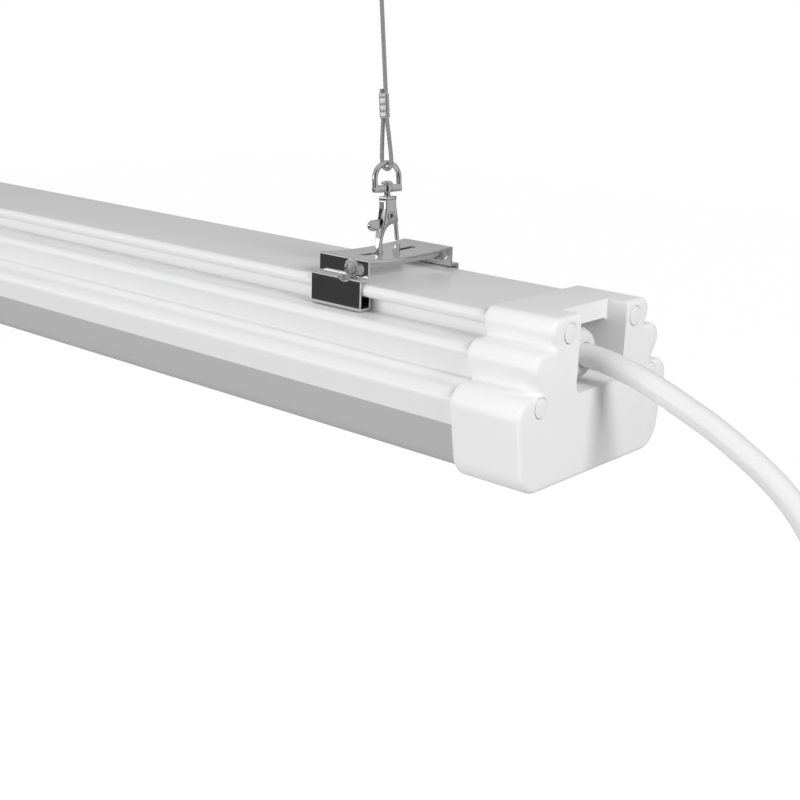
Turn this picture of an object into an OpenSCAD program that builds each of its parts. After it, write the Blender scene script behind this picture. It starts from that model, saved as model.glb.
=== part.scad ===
// Hanging linear shop light: ribbed housing with an opal diffuser, two end caps,
// two clamp brackets, two snap hooks on wire ropes, and a mains cord in a gland.
// X runs along the light towards the cable end, Y across it, Z up.
// Light sizes are measured from the cable end face and the lowest face of the caps;
// every sub-part is then placed so that the origin is the foot of the first ceiling hook.

/* [Light] */
// Length of the light over both end caps
light_l = 1200; // [600:10:1500]
// Width over the lower lobes of the caps
light_w = 86.4; // [80:0.2:96]
// Height of the caps
light_h = 54.7; // [52:0.1:58]
// Thickness of the caps over the housing outline
cap_step = 2.2; // [1.8:0.1:2.6]
// Length of each end cap
cap_l = 27; // [26:1:36]
// Thickness of the cap's front wall
cap_front_t = 2.6; // [2:0.2:4]
// Depth of the housing inside each cap
cap_overlap = 6.5; // [4:0.5:7]
// Height where the diffuser meets the housing
split_z = 17.8; // [16:0.2:18.4]
// Wall of the diffuser
diffuser_t = 1.8; // [1.2:0.2:2.6]
// Thickness of the sealing gasket at each cap
gasket_t = 1.2; // [0.8:0.1:1.4]

/* [Cable recess] */
// Width of the recess in the cable end cap
recess_w = 26.8; // [24:0.4:28]
// Depth of the recess floor below the cap's top
recess_h = 25.8; // [25.3:0.1:27.5]
// Depth of the recess behind the end face
recess_d = 17; // [16:0.5:17.5]
// Distance from the end face to the web across the recess
web_in = 7.5; // [5:0.5:9]
// Height of the web
web_h = 6.3; // [4.8:0.1:6.6]

/* [Gland and cord] */
// Diameter of the mains cord
cord_d = 7.8; // [6:0.1:8]
// Radius of the gland nut
gland_r = 8.6; // [8:0.1:8.8]
// Radius of the gland thread
gland_thread_r = 5.9; // [5.4:0.1:6.4]
// Height of the gland axis above the recess floor
gland_up = 9.3; // [9:0.1:9.8]

/* [Brackets] */
// Distance from each end face to the middle of its bracket
bracket_in = 92.2; // [70:1:140]
// Length of a bracket along the light
bracket_l = 23; // [20:0.5:30]
// Width across the bracket plate
bracket_w = 46; // [45:0.2:47]
// Thickness of the bracket's sheet steel
sheet_t = 1; // [0.8:0.1:1]
// Height of the plate's top face above the housing
plate_up = 8.1; // [7.5:0.1:9.5]
// Radius of the clamp bolt
bolt_r = 1.5; // [1.2:0.1:1.6]

/* [Suspension] */
// Radius of the wire rope
rope_r = 0.75; // [0.6:0.05:0.8]
// Length of rope from the swivel eye's bar to the ceiling hook's bar
rope_l = 87.4; // [70:0.2:400]
// Lean of the snap hook towards the light's middle, in degrees
hook_lean = 3.6; // [0:0.1:5]
// Lean of the wire rope towards the light's middle, in degrees
rope_lean = 5.8; // [0:0.1:8]
// Rest angle of the swivel eye, in degrees
eye_turn = 12; // [0:1:14]
// Radius of the ceiling hook's threaded shank
shank_r = 2; // [1.6:0.1:2.4]
// Length of the threaded shank above the ceiling
shank_l = 22; // [16:1:40]

/* [Hidden] */
$fn = 48;

// Cuts run past a face by this much
cut = 1;
// Gap between pieces on different bodies
gap = 0.3;
// Play of a screw or cord in its hole
play = 0.1;
// Play of a turning pin in its hole
run_play = 0.06;

// Lobes of the cap's outline: heights and radii as shares of its height, and
// places across as shares of its half width
half_w = light_w / 2;
lobe_radius_shares = [0.0804, 0.0914, 0.1097, 0.1645];
lobe_place_shares = [[0.544, 0.9196], [0.713, 0.7313], [0.8611, 0.468], [0.7269, 0.1645]];
top_lobe_r = light_h * lobe_radius_shares[0];
mid_lobe_r = light_h * lobe_radius_shares[1];
low_lobe_r = light_h * lobe_radius_shares[2];
foot_r = light_h * lobe_radius_shares[3];
top_lobe = [half_w * lobe_place_shares[0][0], light_h - top_lobe_r];
mid_lobe = [half_w * lobe_place_shares[1][0], light_h * lobe_place_shares[1][1]];
low_lobe = [half_w - low_lobe_r, light_h * lobe_place_shares[2][1]];
foot = [half_w * lobe_place_shares[3][0], foot_r];
// Lowest points of the two grooves between the lobes, as shares of half width and height
valley_1_share = [0.5903, 0.8373];
valley_2_share = [0.7523, 0.5978];
valley_1 = [half_w * valley_1_share[0], light_h * valley_1_share[1]];
valley_2 = [half_w * valley_2_share[0], light_h * valley_2_share[1]];
// Way from a lobe's centre to its underside, ending a little inside its circle
under_share = 0.96;
under_n = under_share * [cos(30), -sin(30)];
// Housing's upper groove: half width, and heights of its floor and roof
groove_in = 5.3;
groove_half = valley_1[0] - groove_in;
groove_low = mid_lobe[1] + mid_lobe_r - cap_step;
groove_high = top_lobe[1] - top_lobe_r + cap_step;

// Housing cavities from the ledge up: half widths and top heights
side_wall = 3.8;
ledge_in = 1.7;
low_wall = 4.4;
mid_wall = 0.8;
top_wall = 1.8;
top_side = 5.2;
ledge_t = 1;
low_half = half_w - cap_step - side_wall;
ledge_half = low_half - ledge_in;
low_top = low_lobe[1] + low_lobe_r - cap_step - low_wall;
mid_half = valley_2[0] - cap_step - mid_wall;
mid_top = groove_low - top_wall;
top_half = groove_half - top_side;
housing_top = light_h - cap_step;
cap_top = light_h;

// Heights that the recess, gland and bracket plate take from the cap
recess_floor = light_h - recess_h;
web_low = light_h - web_h;
gland_z = recess_floor + gland_up;
plate_z = housing_top + plate_up;

// Cap walls and screws
cap_ledge = 1.4;
recess_wall = 2.4;
recess_round = 2.4;
seat_play = 0.15;
screw_in = [1.2, 0.3];
screw_drop = 1;
screw_rise = 2.3;
screw_at = [
    [groove_half - screw_in[0], top_lobe[1] - screw_drop],
    [valley_2[0] - screw_in[1], low_lobe[1] + screw_rise]
];
screw_r = 1.4;
screw_l = 24;
screw_head_r = 2.6;
screw_head_t = 1.8;
screw_sink = 4.4;
cover_r = 3.2;
cover_t = 1.6;
cover_proud = 0.3;
boss_r = 4.4;
port_r = 2.8;

// LED tray, boards and driver
tray_play = 0.3;
tray_half = low_half - tray_play;
tray_t = 1.5;
tray_z = split_z + ledge_t;
tray_end = 30;
board_w = 12;
board_y = 17;
board_t = 1;
board_end = 40;
led_pitch = 45;
led_size = [3.5, 2.8, 0.8];
terminal_x = -78;
terminal_size = [18, 24, 12];
driver_gap = 40;
driver_l = 182;
driver_x = terminal_x - driver_gap - driver_l;
driver_w = 40;
driver_over = 1.7;
driver_h = mid_top - tray_z - tray_t - driver_over;
driver_wall = 1;
driver_ear = 9;
driver_board_t = 1.6;
driver_board_lift = 3;
part_clear = 1.2;
ear_screw_r = 1.5;
ear_head_r = 2.8;
ear_head_t = 2;

core_r = 1.1;
core_y = 6;
lead_r = 0.8;
lead_y = 8;

// Gland stack along X, from the recess wall outwards
recess_back = -recess_d;
hex_t = 3.6;
dome_l = 5.4;
nose_l = 1.6;
nose_r = 5.6;
thread_in = 8;
seal_rim = 0.6;
locknut_t = 3;
seal_t = 3;
cord_start = recess_back - thread_in;
gland_face = recess_back + hex_t + dome_l + nose_l;

// Cord route after the gland, each [x, y, height from the gland's axis]
cord_drops = [
    [-17, 0, 0], [-8, 0, 0], [0, 0, -0.5], [8, 0, -1.9], [16, 0, -4],
    [24, 0, -6.8], [32, 0, -9.9], [41, 0, -13.6], [51, 0, -18.7], [60.4, 0, -24.2],
    [69, 0, -30.8], [77, 0, -39.7], [83, 0, -50.2], [87, 0, -62.2], [89, 0, -76.2],
    [89.8, -0.7, -90.2], [90, -2, -104.2], [90, -3.3, -115.2], [88.7, -3.9, -125.7], [85.2, -4.15, -134.7]
];
cord_route = [for (p = cord_drops) p + [0, 0, gland_z]];
cord_r = cord_d / 2;
cord_sides = 10;

// Coil of the spare length: whole loops and part loop, outer radius, steps and end lengths
coil_from = 125;
coil_turns = 4 + (180 - coil_from) / 360;
coil_r = 56;
coil_step = 8.4;
coil_rings = 24;
coil_sides = 6;
coil_tail = 20;
coil_drop = 194.84;
coil_centre = [102.15, 0, gland_z - coil_drop];
climb_half = 0.25;
tie_w = 12;
tie_t = 1.2;

// Plug on the end of the cord
plug_l = 34;
plug_w = 25;
plug_d = 21;
plug_neck_l = 12;
plug_neck_r = 6.2;
blade_l = 17.5;
blade_w = 6.4;
blade_t = 1.5;
blade_apart = 12.7;
earth_r = 2.4;
earth_l = 20.5;
earth_back = 11.9;
plug_face_r = 13;

// Bracket profile and holes
bend_r = 1.3;
bend_steps = 5;
shelf_over = 1.7;
shelf_z = housing_top + shelf_over;
jaw_play = 0.3;
lip_play = 0.2;
lip_in = 0.8;
jaw_half = top_lobe[0] + top_lobe_r - cap_step + jaw_play + sheet_t;
jaw_low = groove_low + jaw_play;
lip_half = groove_half + lip_in;
lip_top = groove_high - lip_play;
slot_from = 2.9;
slot_to = 14.4;
slot_half = 1.35;
bolt_off = 4;
bolt_under = 3.6;
bolt_z = plate_z - bolt_under;
bolt_slot = 4.2;
bolt_over = 3.4;
washer_r = 3.2;
washer_t = 0.6;
head_r = 2.4;
head_t = 2.1;
nut_r = 3.1;
nut_t = 2.2;
notch_r = 4.2;

// Snap hook, in its own frame: origin at the centre of the hook's round,
// Z up along the hook, Y across it
hook_in_r = 3.8;
hook_bar = 2.2;
hook_out_r = hook_in_r + hook_bar;
hook_z = plate_z + 0.8;
leg_t = 1.8;
body_t = 4.1;
thick_at = 7;
body_top = 18;
// Outlines as shares of the hook's outer radius
tip_shares = [[0.633, 0], [1, 0], [1, 0.233], [0.633, 0.083]];
tip_outline = hook_out_r * tip_shares;
body_shares = [
    [-1, 0], [-0.633, 0], [-0.65, 0.367], [-0.633, 0.6], [-0.55, 0.85], [-0.483, 1.05], [-0.3, 1.233],
    [-0.025, 1.325], [0.2, 1.383], [0.65, 1.425], [0.642, 1.633], [0.517, 2.283], [0.483, 3],
    [-0.408, 3], [-0.433, 2.317], [-0.567, 1.683], [-0.767, 1.033], [-0.9, 0.567]
];
body_outline = hook_out_r * body_shares;
gate_slot = 2.1;
slot_off = -0.35;
slot_shares = [
    [-1.167, 0.983], [-0.4, 0.983], [-0.4, 0.5], [1.167, 0.5], [1.167, 2.683], [-1.167, 2.683]
];
slot_outline = hook_out_r * slot_shares;
gate_t = 1;
gate_off = -0.1;
gate_shares = [
    [0.717, 0.25], [0.95, 0.325], [0.958, 1.15], [0.817, 1.533], [0.433, 2.1], [0.133, 2.267],
    [-0.317, 2.267], [-0.45, 1.967], [-0.533, 1.733], [-0.65, 1.692], [-1.4, 1.692], [-1.583, 1.625],
    [-1.692, 1.433], [-1.692, 1.3], [-1.583, 1.1], [-1.4, 1.042], [-0.733, 1.042], [-0.25, 1.35],
    [0.083, 1.433], [0.433, 1.367], [0.6, 1.15]
];
gate_outline = hook_out_r * gate_shares;
// Thickness of the gate's arm below the first share and of its tab past the second
arm_t = 1.7;
arm_top_share = 1.2;
tab_from_share = 0.85;
rivet_share = [-0.033, 1.842];
rivet_at = hook_out_r * rivet_share;
rivet_r = 1.2;
rivet_head_r = 1.9;
rivet_head_t = 0.4;
rivet_bore_r = 0.75;
spring_ring_r = 1.55;
spring_wire_r = 0.14;
spring_pitch = 0.33;
spring_off = -1;
spring_leg = 2.6;
post_r = 1.1;
post_low = 16.4;
post_head_r = 2.1;
post_head_t = 1.2;
eye_bar_r = 0.95;
eye_half = 5.3;
eye_low = 19.4;
eye_bar_h = 2.6;
eye_bar_t = 2.4;
eye_bar_half = 6.1;
eye_top = 29.65;
neck_gap = 0.2;

// Wire rope, in its own frame: origin at the swivel eye's bar, Z up along the rope
rope_sides = 8;
low_loop_r = 2.15;
high_loop_r = shank_r + gap + rope_r;
ferrule_bore_at = 0.9;
ferrule_r = 1.2;
ferrule_l = 8.5;
ferrule_up = 15.5;
stub = 1.5;

// Ceiling hook: collar, neck and open ring below the ceiling
collar_r = 5;
collar_t = 1.2;
neck_l = 6;
ring_r = 8;
ring_turn = 300;
shank_tip = 5;

// Places that follow from the sizes above
far_x = -light_l;
bracket_x = -bracket_in;
eye_x = bracket_x - eye_top * sin(hook_lean);
eye_z = hook_z + eye_top * cos(hook_lean);
hang_x = eye_x - rope_l * sin(rope_lean);
hang_z = eye_z + rope_l * cos(rope_lean);
ceiling_z = hang_z + ring_r + neck_l + collar_t + ring_r;
origin = [hang_x, 0, ceiling_z];

function unit(v) = v / norm(v);
function total(v, i = 0) = i >= len(v) ? 0 : v[i] + total(v, i + 1);

// Outward normal of the straight side that touches two circles of the outline
function side_normal(c1, r1, c2, r2) =
    let (d = norm(c2 - c1), u = (c2 - c1) / d, k = (r1 - r2) / d)
    k * u + sqrt(1 - k * k) * [-u[1], u[0]];
side_n = side_normal(low_lobe, low_lobe_r, foot, foot_r);

// Tube along a list of points
function directions(p) = [for (i = [0:len(p) - 1])
    unit(p[min(i + 1, len(p) - 1)] - p[max(i - 1, 0)])];
function across(d, v) = unit(v - (v * d) * d);
function carried(d, seed) = [for (i = 0, u = across(d[0], seed); i < len(d);
    i = i + 1, u = i < len(d) ? across(d[i], u) : u) u];
function tube_points(p, r, sides, seed) =
    let (d = directions(p), u = carried(d, seed))
    [for (i = [0:len(p) - 1], k = [0:sides - 1])
        let (a = 360 * k / sides)
        p[i] + r * (cos(a) * u[i] + sin(a) * cross(d[i], u[i]))];
function tube_faces(n, s) = concat(
    [[for (k = [0:s - 1]) k]],
    [for (i = [0:n - 2], k = [0:s - 1])
        [i * s + (k + 1) % s, i * s + k, (i + 1) * s + k]],
    [for (i = [0:n - 2], k = [0:s - 1])
        [i * s + (k + 1) % s, (i + 1) * s + k, (i + 1) * s + (k + 1) % s]],
    [[for (k = [s - 1:-1:0]) (n - 1) * s + k]]);
module tube(p, r, sides, seed) {
    polyhedron(points = tube_points(p, r, sides, seed), faces = tube_faces(len(p), sides));
}

// Catmull-Rom points between the chosen points of a route
function between(a, b, c, d, t) = 0.5 * (2 * b + (c - a) * t
    + (2 * a - 5 * b + 4 * c - d) * t * t + (3 * b - 3 * c + d - a) * t * t * t);
function smooth(p, steps) = concat(
    [for (i = [0:len(p) - 2], s = [0:steps - 1])
        between(p[max(i - 1, 0)], p[i], p[i + 1], p[min(i + 2, len(p) - 1)], s / steps)],
    [p[len(p) - 1]]);
function run_length(p) = total([for (i = [1:len(p) - 1]) norm(p[i] - p[i - 1])]);

// Polygon of a bent strip: its left edge follows the points, with round bends
function turned(v) = [-v[1], v[0]];
function bend_points(a, b, c, r, steps) =
    let (u = unit(a - b), v = unit(c - b), m = unit(u + v), h = acos(u * v) / 2,
         centre = b + m * r / sin(h), s = (u[0] * v[1] - u[1] * v[0]) > 0 ? 1 : -1,
         start = b + u * r / tan(h) - centre, sweep = 180 - 2 * h)
    [for (k = [0:steps])
        let (t = -s * sweep * k / steps)
        centre + [start[0] * cos(t) - start[1] * sin(t), start[0] * sin(t) + start[1] * cos(t)]];
function bent(p, radii, steps) = [for (i = [0:len(p) - 1]) each
    (i == 0 || i == len(p) - 1 ? [p[i]] : bend_points(p[i - 1], p[i], p[i + 1], radii[i], steps))];

// The light and all below it is drawn in light sizes, then moved to the origin
module placed() {
    translate(-origin) children();
}

// Side 1 is the cable end, and side 2 its mirror image at the far end
module side(s) {
    placed()
    translate([s == 2 ? far_x : 0, 0, 0])
    mirror([s == 2 ? 1 : 0, 0, 0]) children();
}

// Frame of the snap hook and frame of the wire rope
module in_hook() {
    translate([bracket_x, 0, hook_z]) rotate([0, -hook_lean, 0]) children();
}
module in_rope() {
    translate([eye_x, 0, eye_z]) rotate([0, -rope_lean, 0]) children();
}

// Turns a drawing in Y and Z into a solid from x = a to x = b
module along_x(a, b) {
    translate([a, 0, 0]) rotate([90, 0, 90]) linear_extrude(b - a) children();
}

// Outline of cap or housing, set in from the cap's outline. With a groove half width the
// upper groove is cut square and deep, and the lower screw ports stand in the lower groove.
module outline(inset, groove = 0) {
    top_r = top_lobe_r - inset;
    mid_r = mid_lobe_r - inset;
    low_r = low_lobe_r - inset;
    upper = groove > 0
        ? [[groove, mid_lobe[1] + mid_r], [groove, top_lobe[1] - top_r], top_lobe - [0, top_r]]
        : [[valley_1[0], mid_lobe[1] + mid_r], valley_1 - [inset, 0], top_lobe + top_r * under_n];
    for (m = [0, 1]) mirror([m, 0]) {
        polygon(concat([
            [0, inset], [foot[0], inset],
            foot + (foot_r - inset) * side_n, low_lobe + low_r * side_n,
            low_lobe + [0, low_r], [valley_2[0], low_lobe[1] + low_r],
            valley_2 - [inset, 0], mid_lobe + mid_r * under_n,
            mid_lobe + [0, mid_r]], upper,
            [top_lobe + [top_r, 0], top_lobe + [0, top_r], [0, top_lobe[1] + top_r]]));
        translate(foot) circle(foot_r - inset);
        translate(low_lobe) circle(low_r);
        translate(mid_lobe) circle(mid_r);
        translate(top_lobe) circle(top_r);
        if (groove > 0) translate(screw_at[1]) circle(port_r + cap_step - inset);
    }
}

// Band of the drawing between two heights
module band(low, high) {
    translate([-low_lobe[0] - foot_r, low]) square([2 * (low_lobe[0] + foot_r), high - low]);
}

// A rectangle on the middle line, from one height to another
module bar(half, low, high) {
    translate([-half, low]) square([2 * half, high - low]);
}

housing_from = far_x + cap_l - cap_overlap;
housing_to = -cap_l + cap_overlap;

module screw_holes(r) {
    for (m = [-1, 1], p = screw_at) translate([m * p[0], p[1]]) circle(r);
}

module housing() {
    color("whitesmoke") placed()
    along_x(housing_from, housing_to)
    difference() {
        intersection() {
            outline(cap_step, groove_half);
            band(split_z, cap_top);
        }
        bar(ledge_half, split_z - cut, tray_z + cut);
        bar(low_half, tray_z, low_top);
        bar(mid_half, low_top - cut, mid_top);
        bar(top_half, mid_top - cut, housing_top - top_wall);
        screw_holes(screw_r);
    }
}

module diffuser() {
    color("gainsboro") placed()
    along_x(housing_from, housing_to)
    difference() {
        intersection() {
            outline(cap_step, groove_half);
            band(0, split_z);
        }
        intersection() {
            outline(cap_step + diffuser_t, groove_half);
            band(0, split_z + cut);
        }
    }
}

module led_tray() {
    color("silver") placed()
    difference() {
        along_x(far_x + tray_end, -tray_end) bar(tray_half, tray_z, tray_z + tray_t);
        for (x = [driver_x - driver_ear / 2, driver_x + driver_l + driver_ear / 2])
            translate([x, 0, tray_z - cut]) cylinder(r = ear_screw_r, h = tray_t + 2 * cut);
        for (m = [-1, 1])
            translate([driver_x - 2 * driver_ear, m * lead_y, tray_z - cut])
            cylinder(r = 2 * lead_r, h = tray_t + 2 * cut);
    }
}

module led_board(m) {
    color("white") placed()
    along_x(far_x + board_end, -board_end)
    translate([m * board_y, 0]) bar(board_w / 2, tray_z - board_t, tray_z);
}
module led_board_front() { led_board(-1); }
module led_board_back() { led_board(1); }

module leds() {
    color("khaki") placed()
    for (m = [-1, 1], x = [far_x + 2 * board_end:led_pitch:-2 * board_end])
        translate([x - led_size[0] / 2, m * board_y - led_size[1] / 2, tray_z - board_t - led_size[2]])
        cube(led_size);
}

deck_z = tray_z + tray_t;
module driver_case() {
    color("lightgrey") placed()
    difference() {
        union() {
            translate([driver_x, -driver_w / 2, deck_z]) cube([driver_l, driver_w, driver_h - driver_wall]);
            translate([driver_x - driver_ear, -driver_ear, deck_z])
            cube([driver_l + 2 * driver_ear, 2 * driver_ear, driver_wall]);
        }
        translate([driver_x + driver_wall, driver_wall - driver_w / 2, deck_z + driver_wall])
        cube([driver_l - 2 * driver_wall, driver_w - 2 * driver_wall, driver_h]);
        for (x = [driver_x - driver_ear / 2, driver_x + driver_l + driver_ear / 2])
            translate([x, 0, deck_z - cut]) cylinder(r = ear_screw_r + play, h = driver_wall + 2 * cut);
        for (m = [-1, 1], x = [driver_x - cut, driver_x + driver_l - driver_wall - cut])
            translate([x, m * lead_y, lead_z]) rotate([0, 90, 0])
            cylinder(r = lead_r + play, h = driver_wall + 2 * cut);
    }
}

module driver_cover() {
    color("grey") placed()
    translate([driver_x, -driver_w / 2, deck_z + driver_h - driver_wall])
    cube([driver_l, driver_w, driver_wall]);
}

board_top = deck_z + driver_board_lift + driver_board_t;
lead_z = board_top + 2 * lead_r;
module driver_board() {
    color("darkgreen") placed() {
        translate([driver_x + 2 * driver_wall, 2 * driver_wall - driver_w / 2, deck_z + driver_board_lift])
        cube([driver_l - 4 * driver_wall, driver_w - 4 * driver_wall, driver_board_t]);
        for (m = [-1, 1], x = [driver_x + driver_ear, driver_x + driver_l - driver_ear])
            translate([x, m * (driver_w / 2 - driver_ear / 2), deck_z + driver_wall])
            cylinder(r = ear_screw_r, h = driver_board_lift - driver_wall + driver_board_t / 2);
    }
}

// Transformer, two capacitors and a choke on the driver board
part_shares = [[0.2, 0.3], [0.42, 0.2], [0.55, 0.2], [0.78, 0.22]];
module driver_parts() {
    color("goldenrod") placed() {
        for (i = [0, 3])
            translate([driver_x + driver_l * part_shares[i][0] - driver_w * part_shares[i][1],
                       -driver_w * part_shares[i][1], board_top])
            cube([2 * driver_w * part_shares[i][1], 2 * driver_w * part_shares[i][1],
                  driver_h - driver_wall - board_top + deck_z - part_clear]);
        for (i = [1, 2])
            translate([driver_x + driver_l * part_shares[i][0], 0, board_top])
            cylinder(r = driver_w * part_shares[i][1] - part_clear,
                     h = driver_h - driver_wall - board_top + deck_z - part_clear);
    }
}

module driver_screws() {
    color("silver") placed()
    for (x = [driver_x - driver_ear / 2, driver_x + driver_l + driver_ear / 2])
        translate([x, 0, 0]) {
            translate([0, 0, deck_z + driver_wall]) cylinder(r = ear_head_r, h = ear_head_t);
            translate([0, 0, tray_z]) cylinder(r = ear_screw_r - play, h = tray_t + driver_wall + cut);
        }
}

wire_in_z = deck_z + terminal_size[2] / 2;
module terminal_block() {
    color("ivory") placed()
    difference() {
        translate([terminal_x, -terminal_size[1] / 2, deck_z]) cube(terminal_size);
        for (k = [-1:1]) {
            translate([terminal_x - cut, k * core_y, wire_in_z]) rotate([0, 90, 0])
            cylinder(r = core_r + play, h = terminal_size[0] + 2 * cut);
            for (x = [terminal_x + terminal_size[0] / 4, terminal_x + terminal_size[0] * 3 / 4])
                translate([x, k * core_y, wire_in_z + 2 * core_r])
                cylinder(r = 1.5 * core_r, h = terminal_size[2]);
        }
    }
}

// Cores of the cord from its inner end to the terminal block
function core_route(k) =
    let (x0 = cord_start, x1 = terminal_x + terminal_size[0], y0 = k * 2.2 * core_r,
         z0 = gland_z + core_r * (k == 0 ? 1.3 : -1.1))
    [for (t = [0:0.1:1])
        let (s = t * t * (3 - 2 * t))
        [x0 + (x1 - core_r * 2 - x0) * t, y0 + (k * core_y - y0) * s, z0 + (wire_in_z - z0) * s]];
module mains_wires() {
    color("sienna") placed()
    for (k = [-1:1]) tube(core_route(k), core_r, rope_sides, [0, 0, 1]);
}

// Leads from the terminal block into the driver
function lead_route(m) =
    let (x0 = terminal_x + 2 * lead_r, x1 = driver_x + driver_l - driver_wall - lead_r)
    [for (t = [0:0.1:1])
        let (s = t * t * (3 - 2 * t))
        [x0 + (x1 - x0) * t, m * (core_y + (lead_y - core_y) * s), wire_in_z + (lead_z - wire_in_z) * s]];
module driver_wires() {
    color("royalblue") placed()
    for (m = [-1, 1]) tube(lead_route(m), lead_r, rope_sides, [0, 0, 1]);
}

// Leads from the driver down through the tray to the two boards
function board_route(m) =
    let (x0 = driver_x + driver_wall + lead_r, x1 = driver_x - 2 * driver_ear, low = tray_z - board_t / 2,
         high = lead_z)
    smooth([[x0, m * lead_y, high], [x1 + 3 * lead_r, m * lead_y, high],
            [x1, m * lead_y, high - 3 * lead_r], [x1, m * lead_y, low + 3 * lead_r],
            [x1, m * (lead_y + lead_r), low], [x1, m * (board_y - board_w / 2), low]], 4);
module led_wires() {
    color("crimson") placed()
    for (m = [-1, 1]) tube(board_route(m), lead_r / 2, rope_sides, [0, 1, 0]);
}

// Outline of the cable recess: a U with round lower corners
module recess_outline(wall, top) {
    half = recess_w / 2 + wall;
    low = recess_floor - wall;
    r = recess_round + wall;
    bar(half, low + r, top);
    bar(half - r, low, low + 2 * r);
    for (m = [-1, 1]) translate([m * (half - r), low + r]) circle(r);
}

// End cap without its recess: shell with a front wall, screw bosses and the housing's seat
module cap_shell() {
    difference() {
        along_x(-cap_l, 0) outline(0);
        along_x(-cap_l - cut, -cap_l + cap_overlap + gasket_t)
        outline(cap_step - seat_play, groove_half);
        difference() {
            along_x(-cap_l, -cap_front_t) outline(cap_step + cap_ledge, groove_half - cap_ledge);
            along_x(-cap_l + cap_overlap + gasket_t, 0) screw_holes(boss_r);
            children();
        }
    }
}

// Sunk holes for the screws and their covers
module cap_screw_cuts() {
    along_x(-cap_l, cut) screw_holes(screw_r + play);
    along_x(-screw_sink, cut) screw_holes(cover_r + play);
}

module cap_cable_end() {
    color("whitesmoke") placed()
    difference() {
        cap_shell() along_x(recess_back - recess_wall, 0) recess_outline(recess_wall, cap_top);
        along_x(recess_back, cut) recess_outline(0, web_low);
        along_x(-web_in, cut) recess_outline(0, cap_top + cut);
        along_x(recess_back, -web_in - recess_wall) recess_outline(0, cap_top - recess_wall);
        cap_screw_cuts();
        translate([-cap_l, 0, gland_z]) rotate([0, 90, 0])
        cylinder(r = gland_thread_r + play, h = cap_l - recess_d + cut);
    }
}

module cap_far_end() {
    color("whitesmoke") side(2)
    difference() {
        cap_shell();
        cap_screw_cuts();
    }
}

module gasket() {
    along_x(-cap_l + cap_overlap, -cap_l + cap_overlap + gasket_t)
    difference() {
        outline(cap_step, groove_half);
        outline(cap_step + cap_ledge, groove_half - cap_ledge);
        screw_holes(screw_r + play);
    }
}
module gasket_cable_end() { color("darkgrey") side(1) gasket(); }
module gasket_far_end() { color("darkgrey") side(2) gasket(); }

module cap_screws() {
    for (m = [-1, 1], p = screw_at)
        translate([0, m * p[0], p[1]]) rotate([0, 90, 0]) {
            translate([0, 0, -screw_sink]) cylinder(r = screw_head_r, h = screw_head_t);
            translate([0, 0, -screw_sink - screw_l]) cylinder(r = screw_r - play, h = screw_l + cut);
        }
}
module cap_screws_cable_end() { color("silver") side(1) cap_screws(); }
module cap_screws_far_end() { color("silver") side(2) cap_screws(); }

module screw_covers() {
    for (m = [-1, 1], p = screw_at)
        translate([-cover_t, m * p[0], p[1]]) rotate([0, 90, 0])
        cylinder(r = cover_r, h = cover_t + cover_proud);
}
module screw_covers_cable_end() { color("whitesmoke") side(1) screw_covers(); }
module screw_covers_far_end() { color("whitesmoke") side(2) screw_covers(); }

module on_gland() {
    placed() translate([recess_back, 0, gland_z]) rotate([0, 90, 0]) children();
}

module gland_body() {
    color("lightgrey") on_gland()
    difference() {
        union() {
            cylinder(r = gland_r, h = hex_t, $fn = 6);
            translate([0, 0, -recess_wall - locknut_t - cut])
            cylinder(r = gland_thread_r, h = recess_wall + locknut_t + cut + hex_t / 2);
            cylinder(r = gland_thread_r, h = hex_t + dome_l / 2);
        }
        translate([0, 0, -cap_l]) cylinder(r = cord_r + play, h = 2 * cap_l);
        translate([0, 0, hex_t + dome_l / 2 - seal_t])
        cylinder(r = gland_thread_r - seal_rim, h = seal_t + cut);
    }
}

module gland_locknut() {
    color("lightgrey") on_gland()
    translate([0, 0, -recess_wall - locknut_t])
    difference() {
        cylinder(r = gland_r, h = locknut_t - play, $fn = 6);
        translate([0, 0, -cut]) cylinder(r = gland_thread_r + play, h = locknut_t + 2 * cut);
    }
}

module gland_nut() {
    color("gainsboro") on_gland()
    translate([0, 0, hex_t + play])
    difference() {
        union() {
            cylinder(r = gland_r, h = dome_l * 0.6);
            translate([0, 0, dome_l * 0.6]) cylinder(r1 = gland_r, r2 = nose_r, h = dome_l * 0.4 + nose_l);
        }
        translate([0, 0, -cut]) cylinder(r = gland_thread_r + play, h = dome_l / 2 + cut + play);
        cylinder(r = cord_r + play, h = dome_l + nose_l + cut);
    }
}

module gland_seal() {
    color("dimgrey") on_gland()
    translate([0, 0, hex_t + dome_l / 2 - seal_t + play])
    difference() {
        cylinder(r = gland_thread_r - seal_rim - play, h = seal_t - play);
        translate([0, 0, -cut]) cylinder(r = cord_r + play, h = seal_t + 2 * cut);
    }
}

// Coil: two layers, spiralling in and then out, with the climb in the middle half turn
function ease(t) = t * t * (3 - 2 * t);
function coil_radius(t) = coil_r - coil_step * (t < coil_turns / 2 ? t : coil_turns - t);
function coil_layer(t) =
    let (s = (t - coil_turns / 2 + climb_half) / (2 * climb_half))
    coil_step * (ease(max(0, min(1, s))) - 0.5);
function coil_point(t) = let (a = coil_from + 360 * t)
    coil_centre + [coil_radius(t) * cos(a), coil_layer(t), coil_radius(t) * sin(a)];
coil_last_ring = round(coil_turns * coil_rings);
coil_loops = [for (k = [0:coil_last_ring]) coil_point(k * coil_turns / coil_last_ring)];
coil_first = coil_loops[0];
coil_last = coil_loops[coil_last_ring];
coil_entry = coil_first - cord_d * [cos(coil_from + 90), 0, sin(coil_from + 90)];
plug_top = coil_last - [0, 0, coil_tail];
coil_path = concat([coil_entry], coil_loops, [coil_last - [0, 0, cord_d], plug_top]);
module cord_coil() {
    color("gainsboro") placed() tube(coil_path, cord_r, coil_sides, [0, 1, 0]);
}

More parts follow.
